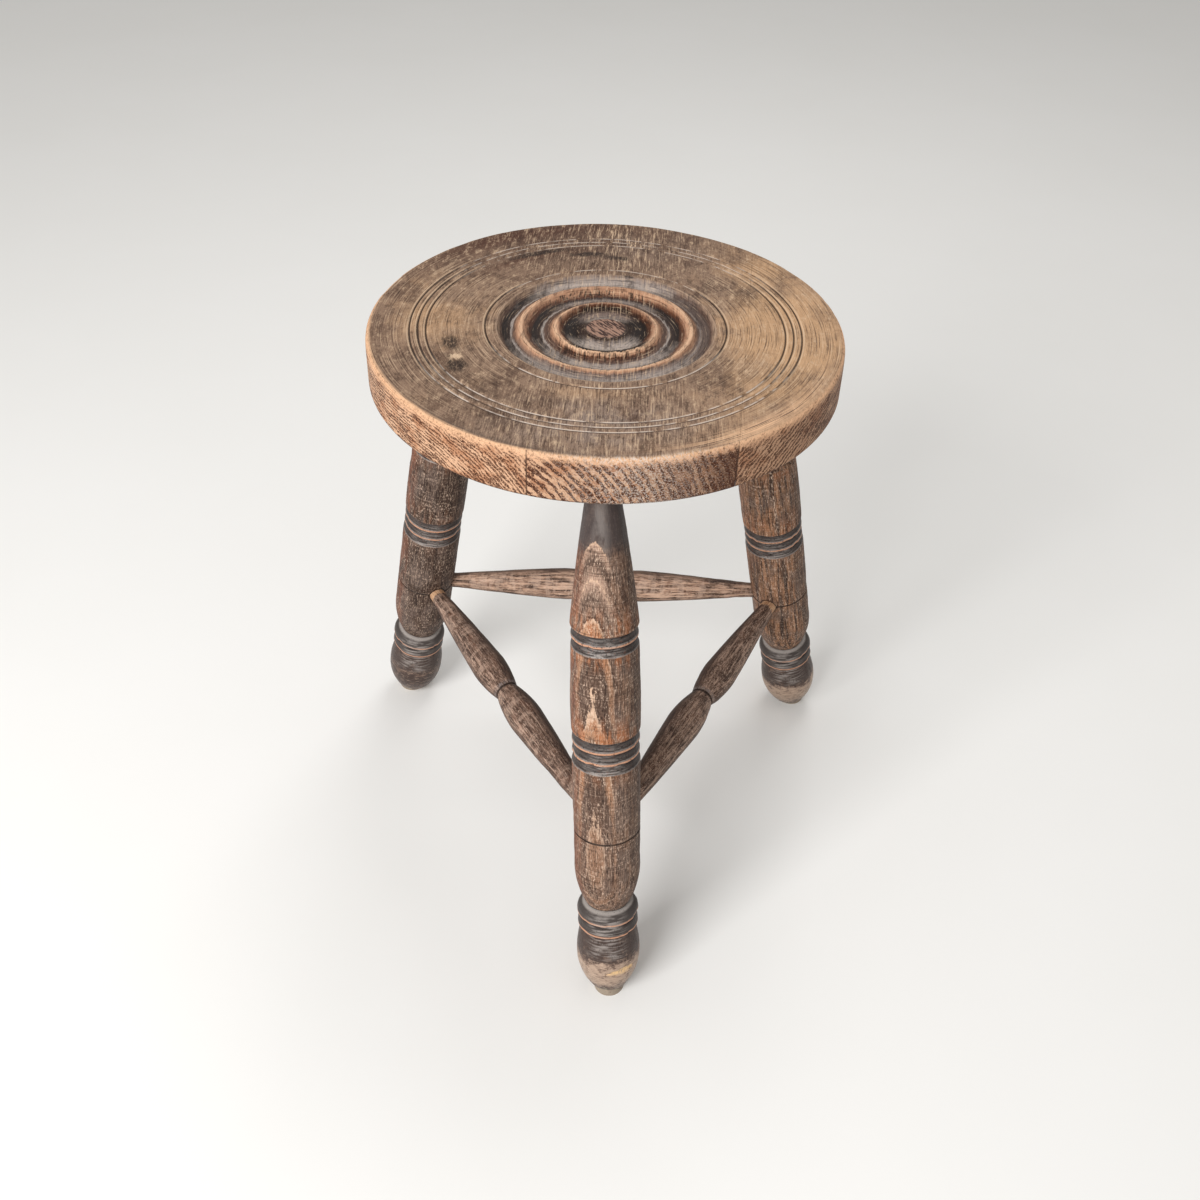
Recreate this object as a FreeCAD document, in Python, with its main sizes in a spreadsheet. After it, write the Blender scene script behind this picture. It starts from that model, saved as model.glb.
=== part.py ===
import FreeCAD, Part
import math
import os
import Sketcher

# A three-legged turned stool: a round seat glued up from three boards, three splayed
# turned legs tenoned into its underside, and three turned stretchers tenoned into the legs.
# The origin lies on the floor under the middle of the whole stool's bounding box.
# +Z is up and -Y is the front.

DRIVING_SIZES = {
    # Seat
    "seat_diameter": 305.0,
    "seat_height": 423.0,
    "seat_thickness": 31.5,
    "seat_top_rounding": 3.0,
    "seat_lower_rounding": 2.0,
    # Rings turned in the middle of the seat
    "button_diameter": 27.0,
    "button_drop": 2.4,
    "inner_crest_diameter": 63.0,
    "outer_crest_diameter": 109.0,
    "ring_field_diameter": 139.0,
    "crest_drop": 1.2,
    "crest_width": 2.4,
    "inner_cove_depth": 3.4,
    "middle_cove_depth": 4.2,
    "outer_cove_depth": 3.8,
    # Fine lines scribed on the seat
    "inner_scribe_diameter": 154.0,
    "outer_scribe_diameter": 249.6,
    "outer_scribe_spacing": 5.2,
    "scribe_width": 1.6,
    "scribe_depth": 0.8,
    # Glue joints between the seat boards
    "left_joint_offset": 17.2,
    "left_joint_angle": 10.0,
    "right_joint_offset": 89.9,
    "right_joint_angle": 6.0,
    # Stance of the legs, bored by eye so that no two feet stand quite alike
    "seat_socket_circle": 234.0,
    "front_foot_radius": 202.0,
    "front_foot_swing_angle": 4.4,
    "rear_left_foot_radius": 195.6,
    "rear_left_foot_swing_angle": -3.6,
    "rear_right_foot_radius": 204.5,
    "rear_right_foot_swing_angle": 0.4,
    # Joints
    "fit_clearance": 0.1,
    "tenon_end_gap": 0.3,
    "leg_tenon_diameter": 19.0,
    "leg_tenon_depth": 20.0,
    "stretcher_tenon_diameter": 12.0,
    "stretcher_tenon_stop": 14.0,
    # Turned legs, heights measured along the leg from the floor
    "pad_diameter": 21.4,
    "pad_height": 4.8,
    "bulb_diameter": 45.6,
    "bulb_height": 34.4,
    "collar_diameter": 43.8,
    "collar_height": 71.9,
    "collar_spacing": 10.6,
    "collar_groove_depth": 2.5,
    "waist_diameter": 31.4,
    "waist_height": 79.8,
    "barrel_diameter": 46.2,
    "upper_barrel_diameter": 44.6,
    "barrel_swell": 0.5,
    "barrel_end_height": 111.2,
    "leg_scribe_height": 142.3,
    "lower_rings_height": 197.9,
    "lower_ring_pitch": 8.8,
    "upper_rings_height": 285.0,
    "upper_ring_pitch": 8.0,
    "ring_depth": 2.2,
    "neck_bulge": 0.7,
    # Turned stretchers
    "stretcher_height": 134.3,
    "stretcher_waist_diameter": 17.8,
    "stretcher_belly_diameter": 26.0,
    "stretcher_belly_offset": 31.9,
}

FULL_TURN = 360
HALF_TURN = 180
QUARTER_TURN = 90
LEG_AZIMUTHS = {"front": -90, "rear_left": 150, "rear_right": 30}
STRETCHER_ENDS = {
    "stretcher_left": ("rear_left", "front"),
    "stretcher_right": ("front", "rear_right"),
    "stretcher_rear": ("rear_right", "rear_left"),
}

# Small proportions of the turned details
LOWER_RING_COUNT = 3
UPPER_RING_COUNT = 2
RING_SLOPE_SHARE = 0.66
RING_WALL_SHARE = 0.14
CREST_SETBACK = 0.4
EDGE_LAND = 0.8
EDGE_UNDERCUT = 1.6
SECOND_EDGE_SETBACK = 0.3
BAND_BULGE = 0.5
PAD_STEP = 1.8
FLOOR_TRIM = 4.0
NECK_CLEAR = 6.0
TENON_CHAMFER = 1.0
TAPER_CLEAR = 3.5
TAPER_BULGE = 0.5
WAIST_NICK = 0.8
OVERCUT = 20.0
OUTER_SCRIBE_COUNT = 3
# How far a quarter circle swells from its chord, as a share of its radius
QUARTER_ROUND_BULGE = 1 - math.sqrt(0.5)


class Size:
    """A number together with the spreadsheet formula that it comes from."""

    def __init__(self, value, formula=None):
        self.value = float(value)
        self.formula = formula or str(float(value))

    def join(self, other, value, sign):
        return Size(value, f"({self.formula} {sign} {other.formula})")

    def __add__(self, other):
        other = as_size(other)
        return self.join(other, self.value + other.value, "+")

    def __sub__(self, other):
        other = as_size(other)
        return self.join(other, self.value - other.value, "-")

    def __mul__(self, other):
        other = as_size(other)
        return self.join(other, self.value * other.value, "*")

    def __truediv__(self, other):
        other = as_size(other)
        return self.join(other, self.value / other.value, "/")

    def __neg__(self):
        return Size(-self.value, f"(0 - {self.formula})")


def as_size(number):
    return number if isinstance(number, Size) else Size(number)


def cosine(angle):
    angle = as_size(angle)
    return Size(math.cos(math.radians(angle.value)), f"cos({angle.formula} * 1 deg)")


def sine(angle):
    angle = as_size(angle)
    return Size(math.sin(math.radians(angle.value)), f"sin({angle.formula} * 1 deg)")


def direction(across, along):
    """The angle in degrees of the arrow that goes `along` and `across`."""
    value = math.degrees(math.atan2(across.value, along.value))
    return Size(value, f"(atan2({across.formula}; {along.formula}) / 1 deg)")


def distance(one, other):
    return Size(math.hypot(one.value, other.value), f"hypot({one.formula}; {other.formula})")


def root(number):
    return Size(math.sqrt(number.value), f"sqrt({number.formula})")


def arc_radius(chord_squared, bulge):
    return chord_squared / (bulge * 8) + bulge / 2


doc = FreeCAD.newDocument("turned_stool")
sizes_sheet = doc.addObject("Spreadsheet::Sheet", "Sizes")
layout_sheet = doc.addObject("Spreadsheet::Sheet", "Layout")


def fill_sizes():
    sizes = {}
    for row, (name, value) in enumerate(DRIVING_SIZES.items(), start=1):
        sizes_sheet.set(f"A{row}", name)
        sizes_sheet.set(f"B{row}", str(value))
        sizes_sheet.setAlias(f"B{row}", name)
        sizes[name] = Size(value, f"Sizes.{name}")
    return sizes


size = fill_sizes()
layout = {}


def lay_out(name, worked_out):
    """Keep a worked-out size in the layout sheet under its own name."""
    row = len(layout) + 1
    layout_sheet.set(f"A{row}", name)
    layout_sheet.set(f"B{row}", f"={worked_out.formula}")
    layout_sheet.setAlias(f"B{row}", name)
    layout[name] = Size(worked_out.value, f"Layout.{name}")
    return layout[name]


def lay_out_leg(leg, azimuth):
    """Where one leg meets the floor, the seat and the stretchers, from under the seat's centre."""
    foot_radius = size[f"{leg}_foot_radius"]
    foot_azimuth = size[f"{leg}_foot_swing_angle"] + azimuth
    foot_x = lay_out(f"{leg}_foot_x", foot_radius * cosine(foot_azimuth))
    foot_y = lay_out(f"{leg}_foot_y", foot_radius * sine(foot_azimuth))
    top_x = lay_out(f"{leg}_top_x", size["seat_socket_circle"] / 2 * cosine(azimuth))
    top_y = lay_out(f"{leg}_top_y", size["seat_socket_circle"] / 2 * sine(azimuth))
    lean = lay_out(f"{leg}_lean", distance(foot_x - top_x, foot_y - top_y))
    lay_out(f"{leg}_heading", direction(foot_y - top_y, foot_x - top_x))
    lay_out(f"{leg}_tilt", direction(lean, underside))
    lay_out(f"{leg}_length", distance(lean, underside))
    rise = size["stretcher_height"] / underside
    lay_out(f"{leg}_joint_x", foot_x + (top_x - foot_x) * rise)
    lay_out(f"{leg}_joint_y", foot_y + (top_y - foot_y) * rise)


def lay_out_stretcher(stretcher, start, end):
    """Middle, length between leg axes, and compass direction of one stretcher."""
    step_x = layout[f"{end}_joint_x"] - layout[f"{start}_joint_x"]
    step_y = layout[f"{end}_joint_y"] - layout[f"{start}_joint_y"]
    lay_out(f"{stretcher}_span", distance(step_x, step_y))
    lay_out(f"{stretcher}_heading", direction(step_y, step_x))
    lay_out(f"{stretcher}_x", (layout[f"{start}_joint_x"] + layout[f"{end}_joint_x"]) / 2)
    lay_out(f"{stretcher}_y", (layout[f"{start}_joint_y"] + layout[f"{end}_joint_y"]) / 2)


def lay_out_seat_centre():
    """Where the seat's centre stands, with the origin midway between the outermost points."""
    rear_feet = layout["rear_left_foot_x"] + layout["rear_right_foot_x"]
    tilt = layout["front_tilt"]
    bulb_front = size["bulb_diameter"] / 2 * cosine(tilt) - size["bulb_height"] * sine(tilt)
    front_to_back = layout["front_foot_y"] - bulb_front + size["seat_diameter"] / 2
    lay_out("seat_x", -rear_feet / 2)
    lay_out("seat_y", -front_to_back / 2)


underside = lay_out("underside", size["seat_height"] - size["seat_thickness"])
for leg_name, leg_azimuth in LEG_AZIMUTHS.items():
    lay_out_leg(leg_name, leg_azimuth)
lay_out_seat_centre()
for stretcher_name, (start_leg, end_leg) in STRETCHER_ENDS.items():
    lay_out_stretcher(stretcher_name, start_leg, end_leg)
doc.recompute()


# Sketch helpers


def new_sketch(body, name, plane_role):
    plane = [item for item in body.Origin.OriginFeatures if item.Role == plane_role][0]
    sketch = body.newObject("Sketcher::SketchObject", name)
    sketch.AttachmentSupport = [(plane, "")]
    sketch.MapMode = "FlatFace"
    return sketch


def drive(sketch, kind, places, measure):
    """Add one dimension and tie it to its formula."""
    index = sketch.addConstraint(Sketcher.Constraint(kind, *places, measure.value))
    sketch.setExpression(f"Constraints[{index}]", measure.formula)


def pin(sketch, edge, end, across, up):
    """Hold one corner of a profile at its distances from the sketch origin."""
    for kind, measure, axis in (("DistanceX", across, -2), ("DistanceY", up, -1)):
        if measure.value > 0:
            drive(sketch, kind, (-1, 1, edge, end), measure)
        elif measure.value < 0:
            drive(sketch, kind, (edge, end, -1, 1), -measure)
        else:
            sketch.addConstraint(Sketcher.Constraint("PointOnObject", edge, end, axis))


def add_edge(sketch, start, finish, bulge):
    """Draw a straight edge, or an arc that swells to the right of its travel by the bulge."""
    if bulge is None:
        return sketch.addGeometry(Part.LineSegment(start, finish), False)
    travel = finish - start
    sideways = FreeCAD.Vector(travel.y, -travel.x, 0).normalize()
    middle = (start + finish) / 2 + sideways * bulge.value
    return sketch.addGeometry(Part.Arc(start, middle, finish), False)


def end_at(sketch, edge, point):
    """Which end of the edge lies at the point."""
    near_start = sketch.getPoint(edge, 1).distanceToPoint(point)
    near_finish = sketch.getPoint(edge, 2).distanceToPoint(point)
    return 1 if near_start < near_finish else 2


def draw_outline(sketch, corners):
    """Draw a closed outline of (across, up, bulge of the edge that follows) corners."""
    corners = [(as_size(across), as_size(up), bulge and as_size(bulge)) for across, up, bulge in corners]
    points = [FreeCAD.Vector(across.value, up.value, 0) for across, up, bulge in corners]
    count = len(corners)
    edges = []
    for place, (across, up, bulge) in enumerate(corners):
        edges.append(add_edge(sketch, points[place], points[(place + 1) % count], bulge))
    for place, (across, up, bulge) in enumerate(corners):
        edge = edges[place]
        before = edges[place - 1]
        start = end_at(sketch, edge, points[place])
        finish = end_at(sketch, before, points[place])
        sketch.addConstraint(Sketcher.Constraint("Coincident", before, finish, edge, start))
        pin(sketch, edge, start, across, up)
        if bulge is not None:
            next_across, next_up, next_bulge = corners[(place + 1) % count]
            step_across = next_across - across
            step_up = next_up - up
            chord_squared = step_across * step_across + step_up * step_up
            bow = bulge if bulge.value > 0 else -bulge
            drive(sketch, "Radius", (edge,), arc_radius(chord_squared, bow))


def turn(body, sketch, kind, name, axis):
    """Spin a sketch right round one of its axes, to add or to take away material."""
    feature = body.newObject(kind, name)
    feature.Profile = (sketch, [""])
    feature.ReferenceAxis = (sketch, [axis])
    feature.Angle = FULL_TURN
    doc.recompute()
    return feature


def vector_text(*parts):
    return "vector(" + "; ".join(as_size(part).formula for part in parts) + ")"


def place_text(x, y, z):
    """A place measured from under the seat's centre, as a formula."""
    return vector_text(layout["seat_x"] + x, layout["seat_y"] + y, z)


def spin_text(axis, angle):
    return f"rotation(vector{axis}; {as_size(angle).formula})"


ABOUT_X = "(1; 0; 0)"
ABOUT_Z = "(0; 0; 1)"


# Seat


def scribed_line(diameter):
    """Corners of a small vee cut in the flat of the seat, from the outside inwards."""
    top = size["seat_height"]
    half_width = size["scribe_width"] / 2
    return [
        (diameter / 2 + half_width, top, None),
        (diameter / 2, top - size["scribe_depth"], None),
        (diameter / 2 - half_width, top, None),
    ]


def seat_outline():
    """Half section of the turned seat: along the underside, up the rim, back over the top."""
    top = size["seat_height"]
    rim = size["seat_diameter"] / 2
    top_rounding = size["seat_top_rounding"]
    lower_rounding = size["seat_lower_rounding"]
    half_crest = size["crest_width"] / 2
    inner_crest = size["inner_crest_diameter"] / 2
    outer_crest = size["outer_crest_diameter"] / 2
    crest_top = top - size["crest_drop"]
    button_top = top - size["button_drop"]
    scribed_lines = []
    for number in range(OUTER_SCRIBE_COUNT):
        step_in = size["outer_scribe_spacing"] * 2 * number
        scribed_lines += scribed_line(size["outer_scribe_diameter"] - step_in)
    scribed_lines += scribed_line(size["inner_scribe_diameter"])
    return [
        (0, underside, None),
        (rim - lower_rounding, underside, lower_rounding * QUARTER_ROUND_BULGE),
        (rim, underside + lower_rounding, None),
        (rim, top - top_rounding, top_rounding * QUARTER_ROUND_BULGE),
        (rim - top_rounding, top, None),
        *scribed_lines,
        (size["ring_field_diameter"] / 2, top, -size["outer_cove_depth"]),
        (outer_crest + half_crest, crest_top, None),
        (outer_crest - half_crest, crest_top, -size["middle_cove_depth"]),
        (inner_crest + half_crest, crest_top, None),
        (inner_crest - half_crest, crest_top, -size["inner_cove_depth"]),
        (size["button_diameter"] / 2, button_top, None),
        (0, button_top, None),
    ]


def bore_seat_socket(body, leg):
    """Take a slanted blind hole for one leg tenon out of the underside of the seat."""
    sketch = new_sketch(body, f"{leg}_socket_sketch", "XY_Plane")
    mouth = vector_text(layout[f"{leg}_top_x"], layout[f"{leg}_top_y"], underside)
    turns = " * ".join([
        spin_text(ABOUT_Z, layout[f"{leg}_heading"]),
        spin_text(ABOUT_X, QUARTER_TURN),
        spin_text(ABOUT_Z, layout[f"{leg}_tilt"]),
    ])
    sketch.setExpression("AttachmentOffset", f"placement({mouth}; {turns})")
    radius = size["leg_tenon_diameter"] / 2 + size["fit_clearance"]
    depth = size["leg_tenon_depth"] + size["tenon_end_gap"]
    draw_outline(sketch, [
        (0, -OVERCUT, None),
        (radius, -OVERCUT, None),
        (radius, depth, None),
        (0, depth, None),
    ])
    turn(body, sketch, "PartDesign::Groove", f"{leg}_socket", "V_Axis")


def make_turned_seat():
    body = doc.addObject("PartDesign::Body", "turned_seat")
    sketch = new_sketch(body, "seat_section", "XZ_Plane")
    draw_outline(sketch, seat_outline())
    turn(body, sketch, "PartDesign::Revolution", "seat_turning", "V_Axis")
    for leg in LEG_AZIMUTHS:
        bore_seat_socket(body, leg)
    body.setExpression("Placement", f"placement({place_text(0, 0, 0)}; {spin_text(ABOUT_Z, 0)})")
    return body


def make_joint_block(name, side):
    """A block that fills everything beyond one glue joint, left (-1) or right (+1)."""
    prefix = "left" if side < 0 else "right"
    angle = size[f"{prefix}_joint_angle"]
    offset = size[f"{prefix}_joint_offset"] * side
    width = size["seat_diameter"]
    near = offset - width if side < 0 else offset
    block = doc.addObject("Part::Box", name)
    block.setExpression("Length", width.formula)
    block.setExpression("Width", (width * 2).formula)
    block.setExpression("Height", (size["seat_thickness"] + 2 * OVERCUT).formula)
    corner_x = near * cosine(angle) - width * sine(angle)
    corner_y = -near * sine(angle) - width * cosine(angle)
    corner = place_text(corner_x, corner_y, underside - OVERCUT)
    block.setExpression("Placement", f"placement({corner}; {spin_text(ABOUT_Z, -angle)})")
    return block


def make_seat_boards():
    seat = make_turned_seat()
    left_block = make_joint_block("left_joint_block", -1)
    right_block = make_joint_block("right_joint_block", 1)
    both_blocks = doc.addObject("Part::Fuse", "joint_blocks")
    both_blocks.Base = left_block
    both_blocks.Tool = right_block
    left = doc.addObject("Part::Common", "seat_board_left")
    left.Base = seat
    left.Tool = left_block
    right = doc.addObject("Part::Common", "seat_board_right")
    right.Base = seat
    right.Tool = right_block
    middle = doc.addObject("Part::Cut", "seat_board_middle")
    middle.Base = seat
    middle.Tool = both_blocks
    doc.recompute()
    return [left, middle, right]


# Legs


def ring_grooves(barrel, start_height, pitch, count):
    """Corners of a group of ring grooves, each a gentle slope under a steep little wall."""
    corners = []
    for number in range(count):
        foot = start_height + pitch * number
        foot_radius = barrel if number == 0 else barrel - CREST_SETBACK
        crest_radius = barrel if number == count - 1 else barrel - CREST_SETBACK
        wall_foot = foot + pitch * RING_SLOPE_SHARE
        corners.append((foot_radius, foot, None))
        corners.append((barrel - size["ring_depth"], wall_foot, None))
        corners.append((crest_radius, wall_foot + pitch * RING_WALL_SHARE, None))
    return corners


def rounded_rise(rise, swell):
    """Bulge of an arc that swells out by the swell over the rise and ends straight."""
    chord_squared = rise * rise + swell * swell
    radius = chord_squared / (swell * 2)
    return radius - root(radius * radius - chord_squared / 4)


def collar_edge(radius, height, bulge_above):
    """Corners of one sharp collar edge, from its undercut to its upper corner."""
    return [
        (radius - size["collar_groove_depth"], height - EDGE_LAND - EDGE_UNDERCUT, None),
        (radius, height - EDGE_LAND, None),
        (radius, height, bulge_above),
    ]


def foot_outline():
    """Half section of the foot from the floor up to the waist above the collar."""
    pad = size["pad_diameter"] / 2
    bulb = size["bulb_diameter"] / 2
    collar = size["collar_diameter"] / 2
    waist = size["waist_diameter"] / 2
    second_radius = collar - SECOND_EDGE_SETBACK
    second_height = size["collar_height"] - size["collar_spacing"]
    lower_bulge = rounded_rise(size["bulb_height"] - size["pad_height"], bulb - pad - PAD_STEP)
    second_edge = collar_edge(second_radius, second_height, BAND_BULGE)
    upper_bulge = rounded_rise(second_edge[0][1] - size["bulb_height"], bulb - second_edge[0][0])
    collar_bulge = rounded_rise(size["waist_height"] - size["collar_height"], collar - waist)
    barrel_end_bulge = rounded_rise(
        size["barrel_end_height"] - size["waist_height"], size["barrel_diameter"] / 2 - waist
    )
    return [
        (0, -FLOOR_TRIM, None),
        (pad, -FLOOR_TRIM, None),
        (pad, size["pad_height"], None),
        (pad + PAD_STEP, size["pad_height"], lower_bulge),
        (bulb, size["bulb_height"], upper_bulge),
        *second_edge,
        *collar_edge(collar, size["collar_height"], collar_bulge),
        (waist, size["waist_height"], barrel_end_bulge),
    ]


def leg_outline(leg):
    """Half section of a whole leg, tenon on top."""
    barrel = size["barrel_diameter"] / 2
    tenon = size["leg_tenon_diameter"] / 2
    length = layout[f"{leg}_length"]
    tenon_top = length + size["leg_tenon_depth"]
    half_scribe = size["scribe_width"] / 2
    upper_barrel = size["upper_barrel_diameter"] / 2
    lower_rings = ring_grooves(
        barrel, size["lower_rings_height"], size["lower_ring_pitch"], LOWER_RING_COUNT
    )
    upper_rings = ring_grooves(
        upper_barrel, size["upper_rings_height"], size["upper_ring_pitch"], UPPER_RING_COUNT
    )
    lower_rings[-1] = lower_rings[-1][:2] + (size["barrel_swell"],)
    upper_rings[-1] = upper_rings[-1][:2] + (size["neck_bulge"],)
    return [
        *foot_outline(),
        (barrel, size["barrel_end_height"], None),
        (barrel, size["leg_scribe_height"] - half_scribe, None),
        (barrel - size["scribe_depth"], size["leg_scribe_height"], None),
        (barrel, size["leg_scribe_height"] + half_scribe, None),
        *lower_rings,
        *upper_rings,
        (tenon, length - NECK_CLEAR, None),
        (tenon, tenon_top - TENON_CHAMFER, None),
        (tenon - TENON_CHAMFER, tenon_top, None),
        (0, tenon_top, None),
    ]


def cut_level_at_floor(body, leg):
    """Cut the slanted foot off flat so that the stool stands on a worn face."""
    sketch = new_sketch(body, f"{leg}_floor_sketch", "XY_Plane")
    circle = Part.Circle(FreeCAD.Vector(0, 0, 0), FreeCAD.Vector(0, 0, 1), size["bulb_diameter"].value)
    edge = sketch.addGeometry(circle, False)
    sketch.addConstraint(Sketcher.Constraint("Coincident", edge, 3, -1, 1))
    drive(sketch, "Radius", (edge,), size["bulb_diameter"])
    pocket = body.newObject("PartDesign::Pocket", f"{leg}_floor_cut")
    pocket.Profile = (sketch, [""])
    pocket.Type = "ThroughAll"
    doc.recompute()


def bore_stretcher_socket(body, leg, stretcher, heading):
    """Take a level blind hole for one stretcher tenon out of the side of a leg."""
    sketch = new_sketch(body, f"{leg}_{stretcher}_sketch", "XY_Plane")
    lean_in = size["stretcher_height"] / underside * layout[f"{leg}_lean"]
    place = vector_text(-lean_in, 0, size["stretcher_height"])
    spin = spin_text(ABOUT_Z, heading - layout[f"{leg}_heading"])
    sketch.setExpression("AttachmentOffset", f"placement({place}; {spin})")
    radius = size["stretcher_tenon_diameter"] / 2 + size["fit_clearance"]
    bottom = size["stretcher_tenon_stop"] - size["tenon_end_gap"]
    mouth = size["barrel_diameter"] / 2 + OVERCUT
    draw_outline(sketch, [
        (bottom, 0, None),
        (mouth, 0, None),
        (mouth, radius, None),
        (bottom, radius, None),
    ])
    turn(body, sketch, "PartDesign::Groove", f"{leg}_{stretcher}_socket", "H_Axis")


def make_leg(leg):
    body = doc.addObject("PartDesign::Body", f"leg_{leg}")
    sketch = new_sketch(body, f"{leg}_section", "XZ_Plane")
    slant = spin_text(ABOUT_Z, layout[f"{leg}_tilt"])
    sketch.setExpression("AttachmentOffset", f"placement(vector(0; 0; 0); {slant})")
    draw_outline(sketch, leg_outline(leg))
    turn(body, sketch, "PartDesign::Revolution", f"{leg}_turning", "V_Axis")
    cut_level_at_floor(body, leg)
    for stretcher, (start, end) in STRETCHER_ENDS.items():
        heading = layout[f"{stretcher}_heading"]
        if leg == start:
            bore_stretcher_socket(body, leg, stretcher, heading)
        if leg == end:
            bore_stretcher_socket(body, leg, stretcher, heading + HALF_TURN)
    foot = place_text(layout[f"{leg}_foot_x"], layout[f"{leg}_foot_y"], 0)
    heading_spin = spin_text(ABOUT_Z, layout[f"{leg}_heading"])
    body.setExpression("Placement", f"placement({foot}; {heading_spin})")
    doc.recompute()
    return body


# Stretchers


def stretcher_outline(half_span):
    """Half section: two bellies either side of a nicked waist, thin tapers, round tenons."""
    waist = size["stretcher_waist_diameter"] / 2
    belly = size["stretcher_belly_diameter"] / 2
    tenon = size["stretcher_tenon_diameter"] / 2
    belly_place = size["stretcher_belly_offset"]
    taper_end = half_span - size["barrel_diameter"] / 2 - TAPER_CLEAR
    tenon_end = half_span - size["stretcher_tenon_stop"]
    belly_bulge = rounded_rise(belly_place - WAIST_NICK, belly - waist)
    return [
        (tenon_end, 0, None),
        (tenon_end, tenon, None),
        (taper_end, tenon, TAPER_BULGE),
        (belly_place, belly, belly_bulge),
        (WAIST_NICK, waist, None),
        (0, waist - WAIST_NICK, None),
        (-WAIST_NICK, waist, belly_bulge),
        (-belly_place, belly, TAPER_BULGE),
        (-taper_end, tenon, None),
        (-tenon_end, tenon, None),
        (-tenon_end, 0, None),
    ]


def make_stretcher(stretcher):
    body = doc.addObject("PartDesign::Body", stretcher)
    sketch = new_sketch(body, f"{stretcher}_section", "XZ_Plane")
    draw_outline(sketch, stretcher_outline(layout[f"{stretcher}_span"] / 2))
    turn(body, sketch, "PartDesign::Revolution", f"{stretcher}_turning", "H_Axis")
    middle = place_text(layout[f"{stretcher}_x"], layout[f"{stretcher}_y"], size["stretcher_height"])
    spin = spin_text(ABOUT_Z, layout[f"{stretcher}_heading"])
    body.setExpression("Placement", f"placement({middle}; {spin})")
    doc.recompute()
    return body


# Build, check and write every piece


def check(item):
    """Stop if a piece or a feature behind it did not build."""
    if any(state in ("Invalid", "Error") for state in item.State):
        raise RuntimeError(f"{item.Name} did not build: {item.State}")
    if hasattr(item, "FullyConstrained") and not item.FullyConstrained:
        raise RuntimeError(f"{item.Name} is not fully dimensioned")


def write(piece):
    if piece.Shape.isNull() or not piece.Shape.isValid() or len(piece.Shape.Solids) != 1:
        raise RuntimeError(f"{piece.Name} is not one sound solid")
    piece.Shape.Solids[0].exportStep(f"parts/{piece.Label}.step")
    print(piece.Label, round(piece.Shape.Volume))


pieces = make_seat_boards()
pieces += [make_leg(leg) for leg in LEG_AZIMUTHS]
pieces += [make_stretcher(stretcher) for stretcher in STRETCHER_ENDS]
doc.recompute()
for document_item in doc.Objects:
    check(document_item)
os.makedirs("parts", exist_ok=True)
for finished_piece in pieces:
    finished_piece.Label = finished_piece.Name
    write(finished_piece)
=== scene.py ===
import itertools
import math

import bmesh
import bpy
import numpy as np
from mathutils import Matrix, Vector


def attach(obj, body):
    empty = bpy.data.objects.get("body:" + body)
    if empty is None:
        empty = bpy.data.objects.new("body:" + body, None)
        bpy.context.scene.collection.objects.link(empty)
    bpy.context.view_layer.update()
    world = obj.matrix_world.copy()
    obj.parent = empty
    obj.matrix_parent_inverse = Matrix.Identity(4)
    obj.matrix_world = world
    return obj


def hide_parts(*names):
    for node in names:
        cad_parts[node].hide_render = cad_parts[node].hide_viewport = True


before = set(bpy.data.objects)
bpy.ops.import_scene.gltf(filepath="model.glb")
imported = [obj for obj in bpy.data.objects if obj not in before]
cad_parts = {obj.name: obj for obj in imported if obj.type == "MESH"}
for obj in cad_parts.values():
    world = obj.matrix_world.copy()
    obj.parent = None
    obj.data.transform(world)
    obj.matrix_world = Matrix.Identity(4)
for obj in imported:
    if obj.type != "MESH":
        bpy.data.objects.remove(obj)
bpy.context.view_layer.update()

MM = 0.001

# Sizes in millimetres, the same as in the CAD source
SEAT_CENTRE = (-6.73, 31.91)
SEAT_RADIUS = 152.5
SEAT_TOP = 423.0
UNDERSIDE = 391.5
TOP_ROUNDING = 3.0
LOWER_ROUNDING = 2.0
BUTTON_RADIUS = 13.5
BUTTON_DROP = 2.4
INNER_CREST = 31.5
OUTER_CREST = 54.5
RING_FIELD = 69.5
CREST_DROP = 1.2
HALF_CREST = 1.2
INNER_COVE = 3.4
MIDDLE_COVE = 4.2
OUTER_COVE = 3.8
SCRIBED_RADII = (124.8, 119.6, 114.4, 77.0)
HALF_SCRIBE = 0.8
SCRIBE_DEPTH = 0.8
JOINTS = {"left": (-17.2, 10.0), "right": (89.9, 6.0)}
SOCKET_CIRCLE = 117.0
LEG_AZIMUTHS = {"front": -90.0, "rear_left": 150.0, "rear_right": 30.0}
FOOT_RADII = {"front": 202.0, "rear_left": 195.6, "rear_right": 204.5}
FOOT_SWINGS = {"front": 4.4, "rear_left": -3.6, "rear_right": 0.4}
FIT_CLEARANCE = 0.1
TENON_END_GAP = 0.3
LEG_TENON_RADIUS = 9.5
LEG_TENON_DEPTH = 20.0
STRETCHER_TENON_RADIUS = 6.0
STRETCHER_TENON_STOP = 14.0
PAD_RADIUS = 10.7
PAD_HEIGHT = 4.8
PAD_STEP = 1.8
FLOOR_TRIM = 4.0
BULB_RADIUS = 22.8
BULB_HEIGHT = 34.4
COLLAR_RADIUS = 21.9
COLLAR_HEIGHT = 71.9
COLLAR_SPACING = 10.6
SECOND_EDGE = COLLAR_HEIGHT - COLLAR_SPACING
COLLAR_GROOVE = 2.5
SECOND_EDGE_SETBACK = 0.3
EDGE_LAND = 0.8
EDGE_UNDERCUT = 1.6
BAND_BULGE = 0.5
WAIST_RADIUS = 15.7
WAIST_HEIGHT = 79.8
BARREL_RADIUS = 23.1
UPPER_BARREL_RADIUS = 22.3
BARREL_SWELL = 0.5
BARREL_END = 111.2
LEG_SCRIBE = 142.3
LOWER_RINGS = (197.9, 8.8, 3)
UPPER_RINGS = (285.0, 8.0, 2)
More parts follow.
